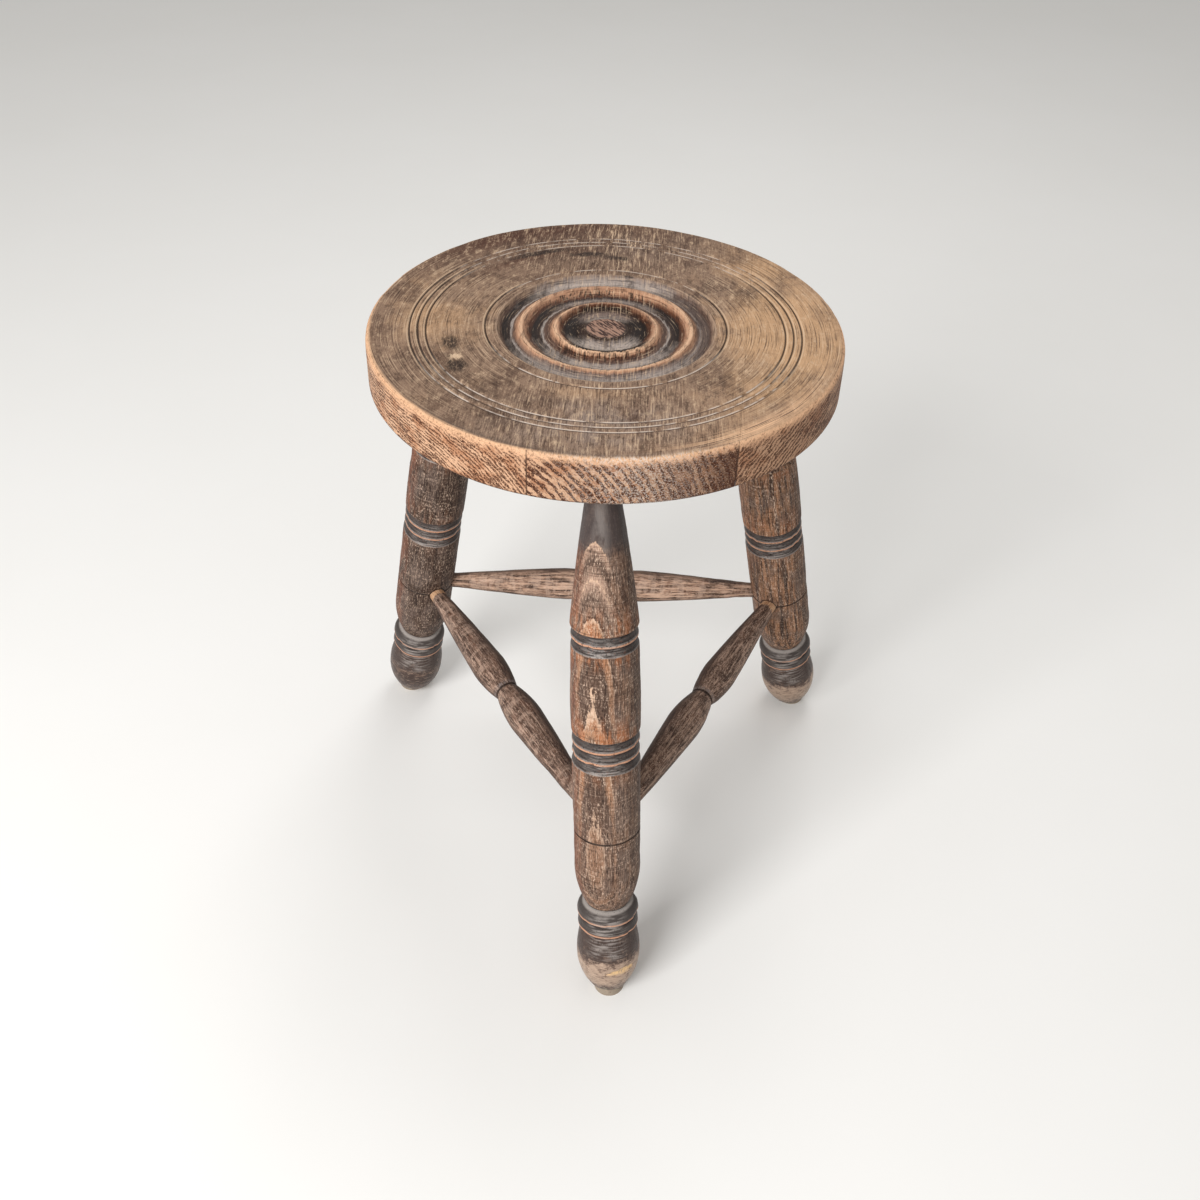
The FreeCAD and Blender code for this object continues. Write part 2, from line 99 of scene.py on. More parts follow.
RING_DEPTH = 2.2
RING_SLOPE_SHARE = 0.66
RING_WALL_SHARE = 0.14
CREST_SETBACK = 0.4
NECK_BULGE = 0.7
NECK_CLEAR = 6.0
STRETCHER_HEIGHT = 134.3
STRETCHER_WAIST = 8.9
STRETCHER_BELLY = 13.0
BELLY_OFFSET = 31.9
TAPER_CLEAR = 3.5
TAPER_BULGE = 0.5
WAIST_NICK = 0.8
STRETCHER_ENDS = {
    "left": ("rear_left", "front"),
    "right": ("front", "rear_right"),
    "rear": ("rear_right", "rear_left"),
}
QUARTER_ROUND_BULGE = 1 - math.sqrt(0.5)

# How finely the turned surfaces are cut into faces
OUTLINE_STEP = 0.2
SEAT_COLUMNS = 448
LEG_COLUMNS = 176
STRETCHER_COLUMNS = 88
SOCKET_COLUMNS = 64


# Steady noise for wear in the geometry

# Large odd numbers that scatter the cells of the noise
CELL_FACTORS = (73856093, 19349663, 83492791)
SEED_FACTOR = 668265263
MIX_FACTOR = 1274126177


def cell_value(cells, seed):
    """A fixed number from -1 to 1 for every whole-numbered cell."""
    scattered = cells * np.array(CELL_FACTORS)
    mixed = scattered[..., 0] ^ scattered[..., 1] ^ scattered[..., 2] ^ seed * SEED_FACTOR
    mixed = (mixed ^ mixed >> 13) * MIX_FACTOR
    mixed = mixed ^ mixed >> 16
    return (mixed & 0xFFFF) / 32767.5 - 1


def noise(points, seed):
    """Smooth noise from -1 to 1 at points that are measured in cells."""
    low = np.floor(points).astype(np.int64)
    part = points - low
    part = part * part * (3 - 2 * part)
    total = np.zeros(points.shape[:-1])
    for corner in itertools.product((0, 1), repeat=3):
        weight = np.prod(np.where(corner, part, 1 - part), axis=-1)
        total += weight * cell_value(low + np.array(corner), seed)
    return total


def rough_noise(points, seed, layers=3):
    """Noise with finer noise on top of it."""
    return sum(noise(points * 2**layer, seed + layer) / 2**layer for layer in range(layers))


def step_up(value, low, high):
    """0 below low, 1 above high and a smooth rise between."""
    share = np.clip((value - low) / (high - low), 0, 1)
    return share * share * (3 - 2 * share)


def bump_at(value, centre, width):
    return np.exp(-(((value - centre) / width) ** 2))


# Turned outlines


def edge_points(start, finish, bulge):
    """Points from start towards finish, on a line or on an arc that swells to the right."""
    chord = finish - start
    length = np.linalg.norm(chord)
    count = max(2, math.ceil(length / OUTLINE_STEP))
    share = np.arange(count)[:, None] / count
    if not bulge:
        return start + chord * share
    radius = length**2 / (8 * bulge) + bulge / 2
    sideways = np.array([chord[1], -chord[0]]) / length
    centre = (start + finish) / 2 + sideways * (bulge - radius)
    sweep = 2 * math.asin(length / 2 / radius) * share
    arm = start - centre
    return centre + np.hstack([
        arm[0] * np.cos(sweep) - arm[1] * np.sin(sweep),
        arm[0] * np.sin(sweep) + arm[1] * np.cos(sweep),
    ])


def trace(corners):
    """A fine evenly spaced line through (across, up, bulge of the next edge) corners."""
    points = [np.array(corner[:2], float) for corner in corners]
    runs = [edge_points(points[n], points[n + 1], corners[n][2]) for n in range(len(points) - 1)]
    line = np.vstack([*runs, points[-1]])
    travel = np.concatenate([[0], np.cumsum(np.linalg.norm(np.diff(line, axis=0), axis=1))])
    even = np.linspace(0, travel[-1], math.ceil(travel[-1] / OUTLINE_STEP))
    return np.column_stack([np.interp(even, travel, line[:, axis]) for axis in range(2)])


def soften(line, reach):
    """Round the corners of a fine line as handling does."""
    count = math.ceil(3 * reach / OUTLINE_STEP)
    weights = np.exp(-((np.arange(-count, count + 1) * OUTLINE_STEP / reach) ** 2) / 2)
    weights /= weights.sum()
    padded = np.pad(line, ((count, count), (0, 0)), mode="reflect", reflect_type="odd")
    return np.column_stack([np.convolve(padded[:, axis], weights, "valid") for axis in range(2)])


def pick_rows(line, coarse, turn_share):
    """Keep rows of a fine line: far apart on straight runs, close together where it turns."""
    steps = np.diff(line, axis=0)
    heading = np.unwrap(np.arctan2(steps[:, 1], steps[:, 0]))
    turning = np.abs(np.diff(heading, append=heading[-1]))
    spread = np.convolve(turning, np.ones(5) / 5, "same")
    need = np.concatenate([[0], np.cumsum(np.linalg.norm(steps, axis=1) / coarse + spread / turn_share)])
    wanted = np.linspace(0, need[-1], math.ceil(need[-1]) + 1)
    return np.column_stack([np.interp(wanted, need, line[:, axis]) for axis in range(2)])


def rounded_rise(rise, swell):
    """Bulge of an arc that swells out by the swell over the rise and ends straight."""
    chord_squared = rise**2 + swell**2
    radius = chord_squared / (2 * swell)
    return radius - math.sqrt(radius**2 - chord_squared / 4)


def seat_corners():
    """Half section of the seat: from the middle of the top, over the rim, to the middle below."""
    crest = SEAT_TOP - CREST_DROP
    corners = [
        (0, SEAT_TOP - BUTTON_DROP, None),
        (BUTTON_RADIUS, SEAT_TOP - BUTTON_DROP, INNER_COVE),
        (INNER_CREST - HALF_CREST, crest, None),
        (INNER_CREST + HALF_CREST, crest, MIDDLE_COVE),
        (OUTER_CREST - HALF_CREST, crest, None),
        (OUTER_CREST + HALF_CREST, crest, OUTER_COVE),
        (RING_FIELD, SEAT_TOP, None),
    ]
    for radius in sorted(SCRIBED_RADII):
        corners += [
            (radius - HALF_SCRIBE, SEAT_TOP, None),
            (radius, SEAT_TOP - SCRIBE_DEPTH, None),
            (radius + HALF_SCRIBE, SEAT_TOP, None),
        ]
    return corners + [
        (SEAT_RADIUS - TOP_ROUNDING, SEAT_TOP, -TOP_ROUNDING * QUARTER_ROUND_BULGE),
        (SEAT_RADIUS, SEAT_TOP - TOP_ROUNDING, None),
        (SEAT_RADIUS, UNDERSIDE + LOWER_ROUNDING, -LOWER_ROUNDING * QUARTER_ROUND_BULGE),
        (SEAT_RADIUS - LOWER_ROUNDING, UNDERSIDE, None),
        (0, UNDERSIDE, None),
    ]


def ring_corners(barrel, start, pitch, count):
    """A group of ring grooves, each a gentle slope under a steep little wall."""
    corners = []
    for number in range(count):
        foot = start + pitch * number
        wall_foot = foot + pitch * RING_SLOPE_SHARE
        corners += [
            (barrel - (CREST_SETBACK if number else 0), foot, None),
            (barrel - RING_DEPTH, wall_foot, None),
            (
                barrel - (CREST_SETBACK if number < count - 1 else 0),
                wall_foot + pitch * RING_WALL_SHARE,
                None,
            ),
        ]
    return corners


def collar_corners(radius, height, bulge_above):
    return [
        (radius - COLLAR_GROOVE, height - EDGE_LAND - EDGE_UNDERCUT, None),
        (radius, height - EDGE_LAND, None),
        (radius, height, bulge_above),
    ]


def leg_corners(length):
    """Half section of a leg from below the floor to the top of its tenon."""
    second_edge = collar_corners(COLLAR_RADIUS - SECOND_EDGE_SETBACK, SECOND_EDGE, BAND_BULGE)
    bulb_to_edge = second_edge[0][1] - BULB_HEIGHT
    lower_rings = ring_corners(BARREL_RADIUS, *LOWER_RINGS)
    upper_rings = ring_corners(UPPER_BARREL_RADIUS, *UPPER_RINGS)
    lower_rings[-1] = lower_rings[-1][:2] + (BARREL_SWELL,)
    upper_rings[-1] = upper_rings[-1][:2] + (NECK_BULGE,)
    return [
        (0, -FLOOR_TRIM, None),
        (PAD_RADIUS, -FLOOR_TRIM, None),
        (PAD_RADIUS, PAD_HEIGHT, None),
        (
            PAD_RADIUS + PAD_STEP,
            PAD_HEIGHT,
            rounded_rise(BULB_HEIGHT - PAD_HEIGHT, BULB_RADIUS - PAD_RADIUS - PAD_STEP),
        ),
        (BULB_RADIUS, BULB_HEIGHT, rounded_rise(bulb_to_edge, BULB_RADIUS - second_edge[0][0])),
        *second_edge,
        *collar_corners(
            COLLAR_RADIUS,
            COLLAR_HEIGHT,
            rounded_rise(WAIST_HEIGHT - COLLAR_HEIGHT, COLLAR_RADIUS - WAIST_RADIUS),
        ),
        (WAIST_RADIUS, WAIST_HEIGHT, rounded_rise(BARREL_END - WAIST_HEIGHT, BARREL_RADIUS - WAIST_RADIUS)),
        (BARREL_RADIUS, BARREL_END, None),
        (BARREL_RADIUS, LEG_SCRIBE - HALF_SCRIBE, None),
        (BARREL_RADIUS - SCRIBE_DEPTH, LEG_SCRIBE, None),
        (BARREL_RADIUS, LEG_SCRIBE + HALF_SCRIBE, None),
        *lower_rings,
        *upper_rings,
        (LEG_TENON_RADIUS, length - NECK_CLEAR, None),
        (LEG_TENON_RADIUS, length + LEG_TENON_DEPTH, None),
        (0, length + LEG_TENON_DEPTH, None),
    ]


def stretcher_corners(half_span):
    """Half section of a stretcher from end to end, its middle at height nought."""
    taper_end = half_span - BARREL_RADIUS - TAPER_CLEAR
    tenon_end = half_span - STRETCHER_TENON_STOP
    belly = rounded_rise(BELLY_OFFSET - WAIST_NICK, STRETCHER_BELLY - STRETCHER_WAIST)
    return [
        (0, -tenon_end, None),
        (STRETCHER_TENON_RADIUS, -tenon_end, None),
        (STRETCHER_TENON_RADIUS, -taper_end, TAPER_BULGE),
        (STRETCHER_BELLY, -BELLY_OFFSET, belly),
        (STRETCHER_WAIST, -WAIST_NICK, None),
        (STRETCHER_WAIST - WAIST_NICK, 0, None),
        (STRETCHER_WAIST, WAIST_NICK, belly),
        (STRETCHER_BELLY, BELLY_OFFSET, TAPER_BULGE),
        (STRETCHER_TENON_RADIUS, taper_end, None),
        (STRETCHER_TENON_RADIUS, tenon_end, None),
        (0, tenon_end, None),
    ]


# Meshes


def lathe(rows, columns):
    """Points and faces of a closed turned surface whose first and last rows lie on the axis."""
    angles = np.arange(columns) * 2 * math.pi / columns
    radius, height = rows[1:-1, 0][:, None], rows[1:-1, 1][:, None]
    rings = np.stack(
        [radius * np.cos(angles), radius * np.sin(angles), height + 0 * angles], axis=-1
    ).reshape(-1, 3)
    points = np.vstack([[0, 0, rows[0, 1]], rings, [0, 0, rows[-1, 1]]])
    ring_count = len(rows) - 2
    ring = 1 + np.arange(columns)
    following = 1 + (np.arange(columns) + 1) % columns
    last = 1 + (ring_count - 1) * columns
    faces = [(0, int(b), int(a)) for a, b in zip(ring, following)]
    for number in range(ring_count - 1):
        low, high = number * columns, (number + 1) * columns
        faces += np.column_stack([ring + low, following + low, following + high, ring + high]).tolist()
    top = len(points) - 1
    faces += [(top, int(a) + last - 1, int(b) + last - 1) for a, b in zip(ring, following)]
    return points, faces


def make_object(name, points, faces, matrix):
    """An object whose mesh is given in millimetres in its own axes."""
    mesh = bpy.data.meshes.new(name)
    mesh.from_pydata((np.asarray(points) * MM).tolist(), [], faces)
    made = bpy.data.objects.new(name, mesh)
    made.matrix_world = matrix
    bpy.context.scene.collection.objects.link(made)
    bpy.context.view_layer.update()
    return made


def mesh_points(mesh):
    flat = np.empty(len(mesh.vertices) * 3, np.float32)
    mesh.vertices.foreach_get("co", flat)
    return flat.reshape(-1, 3).astype(float) / MM


def set_points(mesh, points):
    mesh.vertices.foreach_set("co", (points * MM).astype(np.float32).ravel())
    mesh.update()


def store(mesh, **values):
    """Keep numbers for the materials on every point of a mesh."""
    for name, numbers in values.items():
        attribute = mesh.attributes.new(name, "FLOAT", "POINT")
        attribute.data.foreach_set("value", np.asarray(numbers, np.float32))


def cut(piece, point, outward, remove):
    """Cut a mesh along a plane in its own axes; if asked, remove what lies beyond and close the cut."""
    work = bmesh.new()
    work.from_mesh(piece.data)
    bmesh.ops.bisect_plane(
        work,
        geom=work.verts[:] + work.edges[:] + work.faces[:],
        plane_co=Vector(point) * MM,
        plane_no=Vector(outward),
        clear_outer=remove,
    )
    if remove:
        rim = [edge for edge in work.edges if edge.is_boundary]
        bmesh.ops.edgeloop_fill(work, edges=rim)
    work.to_mesh(piece.data)
    work.free()


def bore(piece, matrix, radius, start, finish):
    """Take a round hole out of a piece, along the z axis of the matrix."""
    rows = np.array([(0, start), (radius, start), (radius, finish), (0, finish)], float)
    points, faces = lathe(rows, SOCKET_COLUMNS)
    cutter = make_object("cutter", points, faces, matrix)
    hole = piece.modifiers.new("hole", "BOOLEAN")
    hole.operation = "DIFFERENCE"
    hole.solver = "MANIFOLD"
    hole.object = cutter
    graph = bpy.context.evaluated_depsgraph_get()
    bored = bpy.data.meshes.new_from_object(piece.evaluated_get(graph))
    piece.modifiers.clear()
    piece.data = bored
    bpy.data.objects.remove(cutter)


def finish_piece(piece, material, body_node, sharp_degrees=38):
    """Keep each point's own place for the material, then set the mesh in the shared frame."""
    mesh = piece.data
    own = mesh.attributes.new("own_place", "FLOAT_VECTOR", "POINT")
    own.data.foreach_set("vector", mesh_points(mesh).astype(np.float32).ravel())
    mesh.transform(piece.matrix_world)
    piece.matrix_world = Matrix.Identity(4)
    mesh.materials.clear()
    mesh.materials.append(material)
    mesh.shade_smooth()
    mesh.set_sharp_from_angle(angle=math.radians(sharp_degrees))
    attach(piece, "root")
    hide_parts(body_node)


# Where the pieces stand


def on_seat(x, y, z):
    """A place measured from under the seat's centre, in the shared frame."""
    return np.array([x + SEAT_CENTRE[0], y + SEAT_CENTRE[1], z])


def foot_place(leg):
    angle = math.radians(LEG_AZIMUTHS[leg] + FOOT_SWINGS[leg])
    return on_seat(FOOT_RADII[leg] * math.cos(angle), FOOT_RADII[leg] * math.sin(angle), 0)


def socket_place(leg):
    angle = math.radians(LEG_AZIMUTHS[leg])
    return on_seat(SOCKET_CIRCLE * math.cos(angle), SOCKET_CIRCLE * math.sin(angle), UNDERSIDE)


def joint_place(leg):
    """Where the stretchers' axes meet a leg's axis."""
    rise = STRETCHER_HEIGHT / UNDERSIDE
    return foot_place(leg) * (1 - rise) + socket_place(leg) * rise


def axes_along(origin, along, sideways):
    """A placing whose z axis runs along one direction and whose x axis is nearest to another."""
    z = Vector(along).normalized()
    y = z.cross(Vector(sideways)).normalized()
    x = y.cross(z)
    turn = Matrix((x, y, z)).transposed().to_4x4()
    return Matrix.Translation(Vector(origin) * MM) @ turn


def leg_axes(leg):
    foot = foot_place(leg)
    return axes_along(foot, socket_place(leg) - foot, (1, 0, 0))


def stretcher_axes(stretcher):
    start, end = STRETCHER_ENDS[stretcher]
    first, last = joint_place(start), joint_place(end)
    return axes_along((first + last) / 2, last - first, (0, 0, 1))


def stretcher_span(stretcher):
    start, end = STRETCHER_ENDS[stretcher]
    return float(np.linalg.norm(joint_place(end) - joint_place(start)))


# Seat boards: wear in the geometry

JOINT_ROWS = (0.35, 0.8, 1.6)
JOINT_GAP = 0.05
SEAT_SAG = 0.25
TEAR_DEPTH = 0.45
ARRIS_WEAR = 0.3
RIM_WEAR = 0.12


def outward_from_axis(points, least):
    """Distance of points from the z axis, and the direction away from it."""
    radius = np.hypot(points[:, 0], points[:, 1])
    return radius, points * np.array([1, 1, 0]) / np.maximum(radius, least)[:, None]


def wear_seat(points):
    """Dish, tear and blunt the turned seat without letting it grow."""
    radius, outward = outward_from_axis(points, 1)
    top = step_up(points[:, 2], SEAT_TOP - 8, SEAT_TOP - 5) * (radius < SEAT_RADIUS - 0.5)
    worn = points.copy()
    sag = SEAT_SAG + SEAT_SAG * rough_noise(points / 60, 11)
    worn[:, 2] -= top * np.maximum(sag, 0)
    torn = step_up(noise(points / np.array([1.6, 9, 6]), 12), 0.35, 0.8)
    in_rings = step_up(RING_FIELD - radius, 0, 3)
    across_grain = np.abs(points[:, 1]) / np.maximum(radius, 1)
    worn[:, 2] -= top * in_rings * across_grain * torn * TEAR_DEPTH
    arris = bump_at(radius, SEAT_RADIUS, 3.5) * bump_at(points[:, 2], SEAT_TOP, 4)
    nicks = step_up(noise(points / np.array([14, 14, 20]), 13), 0.2, 0.9)
    blunt = arris * (ARRIS_WEAR + ARRIS_WEAR * nicks)
    worn[:, 2] -= blunt
    worn -= outward * blunt[:, None]
    rim = step_up(radius, SEAT_RADIUS - 6, SEAT_RADIUS - 1)
    uneven = RIM_WEAR + RIM_WEAR * rough_noise(points / 40, 14)
    worn -= outward * (rim * np.maximum(uneven, 0))[:, None]
    return worn


def joint_line(side):
    """A point on a board joint and the direction across it, to the right."""
    offset, angle = JOINTS[side]
    turn = math.radians(angle)
    across = np.array([math.cos(turn), -math.sin(turn), 0])
    return across * offset, across


def part_board(piece, side, keep_right):
    """Cut the turned seat along one joint, keep one side, and round the edge of the joint."""
    place, across = joint_line(side)
    inward = across if keep_right else -across
    for row in JOINT_ROWS:
        cut(piece, place + inward * row, across, False)
    cut(piece, place + inward * JOINT_GAP, -inward, True)
    points = mesh_points(piece.data)
    from_joint = (points - place) @ inward
    near = np.clip(1 - from_joint / JOINT_ROWS[-1], 0, 1) ** 2
    opening = 0.16 + 0.14 * noise(points / 22, 21)
    top = step_up(points[:, 2], SEAT_TOP - 6.5, SEAT_TOP - 5.5)
    points[:, 2] -= near * top * opening * 0.4
    radius = np.hypot(points[:, 0], points[:, 1])
    rim = step_up(radius, SEAT_RADIUS - 4, SEAT_RADIUS - 1)
    points[:, :2] *= (1 - near * rim * opening / np.maximum(radius, 1))[:, None]
    set_points(piece.data, points)


# Marks on the seat for its materials

# Soft oval marks: strength, x and y from the seat's centre, half length, half width, turn in degrees
KNOTS = (
    (1, -97, -27, 6, 11, 12), (1, -90, -55, 8, 9, 0), (1, -44, -43, 1.8, 4, 35),
    (0.8, -60, 1, 3, 9, -30),
)
PALE_KNOT = ((1, -92, -44, 7, 5, 0),)
SHADOWS = (
    (0.8, 92, 48, 10, 14, 0), (0.6, 75, -60, 18, 9, 20), (0.6, -62, -112, 16, 9, -30),
    (0.5, -78, -78, 26, 14, -40),
)
GOLDEN = (
    (1, 116, -4, 46, 76, 0), (0.45, -110, 8, 36, 56, 0), (0.45, 0, -84, 38, 9, 0),
    (0.55, 100, 94, 34, 22, -45), (0.3, 50, -130, 60, 18, 15), (0.4, 80, -88, 40, 26, 40),
)
COOL = ((1, 0, -118, 60, 30, 0), (0.6, 10, 112, 60, 24, 0))
BEHIND = ((1, -42, 116, 100, 42, 0),)
BACK_SCRATCHES = ((1, 14, 120, 24, 34, 0),)

# Soft arcs: strength, radius, half width, bearing in degrees, half sweep
TORN_ARCS = ((1, 110, 3.6, 116, 15), (0.9, 101, 4, 98, 9), (0.8, 95, 4, 86, 7))
BACK_ARCS = ((1, 143, 11, 115, 36), (0.8, 106, 4, 122, 22))
BARE_ARCS = ((1, 145.5, 5.5, -52, 20), (1, 150.8, 1.4, -140, 42))
GREY_ARCS = ((1, 148.2, 1.3, -118, 36),)
SCRATCHED_ARCS = ((1, 151, 1.8, -82, 15),)

# Dark stain on the rim of the middle board, growing rightward: strength, x of its start, x where it is full
RIM_STAINS = ((0.27, -70, 0), (0.43, 5, 40), (0.3, 58, 72))
RIGHT_BOARD_STAIN = 0.3


def ovals(points, spots):
    total = 0
    for strength, x, y, along, across, turn in spots:
        angle = math.radians(turn)
        u = (points[:, 0] - x) * math.cos(angle) + (points[:, 1] - y) * math.sin(angle)
        v = (points[:, 1] - y) * math.cos(angle) - (points[:, 0] - x) * math.sin(angle)
        total = total + strength * np.exp(-((u / along) ** 2) - (v / across) ** 2)
    return total


def arcs_on_seat(points, strokes):
    radius = np.hypot(points[:, 0], points[:, 1])
    bearing = np.degrees(np.arctan2(points[:, 1], points[:, 0]))
    return sum(
        strength * bump_at(radius, middle, width) * bump_at(bearing, toward, sweep)
        for strength, middle, width, toward, sweep in strokes
    )


def rim_stain(points):
    """Dark stain on the front of the rim, below its upper edge."""
    x, y, up = points.T
    place, across = joint_line("right")
    stain = sum(strength * step_up(x, start, full) for strength, start, full in RIM_STAINS)
    stain = np.where((points - place) @ across > 0, RIGHT_BOARD_STAIN, stain)
    return stain * (y < 0) * step_up(-up, 3 - SEAT_TOP, 6 - SEAT_TOP)


def mark_seat(mesh):
    """Numbers for the seat's materials: zones, stains, knots and worn edges."""
    points = mesh_points(mesh)
    radius = np.hypot(points[:, 0], points[:, 1])
    joints = sum(
        step_up(-np.abs((points - place) @ across), -JOINT_ROWS[1], 0)
        for place, across in (joint_line(side) for side in JOINTS)
    )
    store(
        mesh,
        rim=step_up(radius, SEAT_RADIUS - 2.4, SEAT_RADIUS - 1.5),
        stains=np.clip(ovals(points, KNOTS) + arcs_on_seat(points, TORN_ARCS), 0, 1),
        back_band=arcs_on_seat(points, BACK_ARCS),
        behind=ovals(points, BEHIND),
        shadows=np.clip(ovals(points, SHADOWS), 0, 1),
        pale_knot=ovals(points, PALE_KNOT),
        golden=np.clip(ovals(points, GOLDEN), 0, 1),
        cool=ovals(points, COOL),
        arris=bump_at(radius, SEAT_RADIUS - 1.2, 1.4) * bump_at(points[:, 2], SEAT_TOP - 1.0, 2.2),
        bare_edge=np.clip(arcs_on_seat(points, BARE_ARCS), 0, 1),
        grey_edge=arcs_on_seat(points, GREY_ARCS),
        back_scratches=ovals(points, BACK_SCRATCHES),
        scratched=arcs_on_seat(points, SCRATCHED_ARCS),
        dark_patch=rim_stain(points),
        joint=joints,
    )


# Legs: wear in the geometry and marks

CRESTS = (
    COLLAR_HEIGHT - EDGE_LAND / 2,
    SECOND_EDGE - EDGE_LAND / 2,
    LOWER_RINGS[0] + LOWER_RINGS[1] * 0.9,
    LOWER_RINGS[0] + LOWER_RINGS[1] * 1.9,
    UPPER_RINGS[0] + UPPER_RINGS[1] * 0.9,
)
OVAL_DEPTH = 0.18
DENT_DEPTH = 0.5
FIBRE_DEPTH = 0.1
NICK_DEPTH = 0.75
TOOL_LINE_DEPTH = 0.06
CHIP_MIDDLE = 24.0
CHIP_HALF_SWEEP = 30.0
CHIP_HEIGHT = 29.5
CHIP_RISE = 0.055
CHIP_WIDTH = 2.6
CHIP_DEPTH = 1.3


def wear_leg(points, seed):
    """Dents, nicked edges and a slightly oval section."""
    outward = outward_from_axis(points, 0.5)[1]
    height = points[:, 2]
    angle = np.arctan2(points[:, 1], points[:, 0])
    body = step_up(height, 6, 12) * step_up(-height, -394, -380)
    oval = OVAL_DEPTH * (1 + np.cos(2 * angle + seed))
    dents = DENT_DEPTH * step_up(rough_noise(points / np.array([16, 16, 30]), seed), 0.25, 1.1)
    fine = FIBRE_DEPTH * (1 + noise(points / np.array([2.2, 2.2, 14]), seed + 5))
    edges = sum(bump_at(height, crest, 1.6) for crest in CRESTS)
    nicks = edges * NICK_DEPTH * step_up(noise(points / np.array([5, 5, 8]), seed + 7), 0.25, 0.8)
    lines = TOOL_LINE_DEPTH * (1 + noise(np.column_stack([angle, angle * 0, height / 1.3]), seed + 8))
    return points - outward * (body * (oval + dents + fine + nicks + lines))[:, None]


def chip_share(points):
    """Where a splinter has broken off the front foot, 0 to 1."""
    turn = np.degrees(np.arctan2(points[:, 0], -points[:, 1])) - CHIP_MIDDLE
    height = CHIP_HEIGHT + CHIP_RISE * turn
    ragged = 0.8 * noise(points / 3.5, 41)
    width = CHIP_WIDTH * np.clip(1 - (turn / CHIP_HALF_SWEEP) ** 2, 0, 1) + 0.2
    near = step_up(1 - np.abs(points[:, 2] - height + ragged) / width, 0, 0.5)
    return near * (np.abs(turn) < CHIP_HALF_SWEEP)


def chip_foot(points):
    outward = outward_from_axis(points, 0.5)[1]
    return points - outward * (CHIP_DEPTH * chip_share(points))[:, None]


def stretchers_at(leg):
    return [stretcher for stretcher, ends in STRETCHER_ENDS.items() if leg in ends]


def mark_leg(mesh, leg):
    """Numbers for a leg's material: the splinter and the mouths of the sockets."""
    points = mesh_points(mesh)
    mouths = np.zeros(len(points))
    for stretcher in stretchers_at(leg):
        to_stretcher = np.array(stretcher_axes(stretcher).inverted() @ leg_axes(leg))
        seen = points * MM @ to_stretcher[:3, :3].T + to_stretcher[:3, 3]
        from_axis = np.hypot(seen[:, 0], seen[:, 1]) / MM
        dark = step_up(-from_axis, -STRETCHER_TENON_RADIUS - 2.2, -STRETCHER_TENON_RADIUS)
        this_side = np.abs(seen[:, 2]) / MM < stretcher_span(stretcher) / 2 - STRETCHER_TENON_STOP / 2
        mouths = np.maximum(mouths, dark * this_side)
    store(mesh, chip=chip_share(points) if leg == "front" else np.zeros(len(points)), socket=mouths)


# Stretchers: wear in the geometry and marks

STRETCHER_DENT_DEPTH = 0.45
STRETCHER_FIBRE_DEPTH = 0.09


def wear_stretcher(points, seed):
    """Hand-turned unevenness and dents along a stretcher."""
    radius, outward = outward_from_axis(points, 0.5)
    shown = step_up(radius, STRETCHER_TENON_RADIUS + 0.1, STRETCHER_TENON_RADIUS + 1)
    dents = STRETCHER_DENT_DEPTH * step_up(rough_noise(points / np.array([9, 9, 22]), seed), 0.2, 1.0)
    fine = STRETCHER_FIBRE_DEPTH * (1 + noise(points / np.array([1.8, 1.8, 11]), seed + 3))
    return points - outward * (shown * (dents + fine))[:, None]


def mark_stretcher(mesh, half_span, bare_direction):
    """How near each point is to an end where the stain has worn off, 0 to 1."""
    points = mesh_points(mesh)
    end = half_span - BARREL_RADIUS
    store(mesh, bare_end=step_up(points[:, 2] * bare_direction, end - 12, end - 2))


# Node materials

WOOD_GLOSS = 0.14


def tone(red, green, blue):
    """A linear colour from everyday 0 to 255 values."""
    def linear(value):
        share = value / 255
        return share / 12.92 if share <= 0.04045 else ((share + 0.055) / 1.055) ** 2.4
    return (linear(red), linear(green), linear(blue), 1)


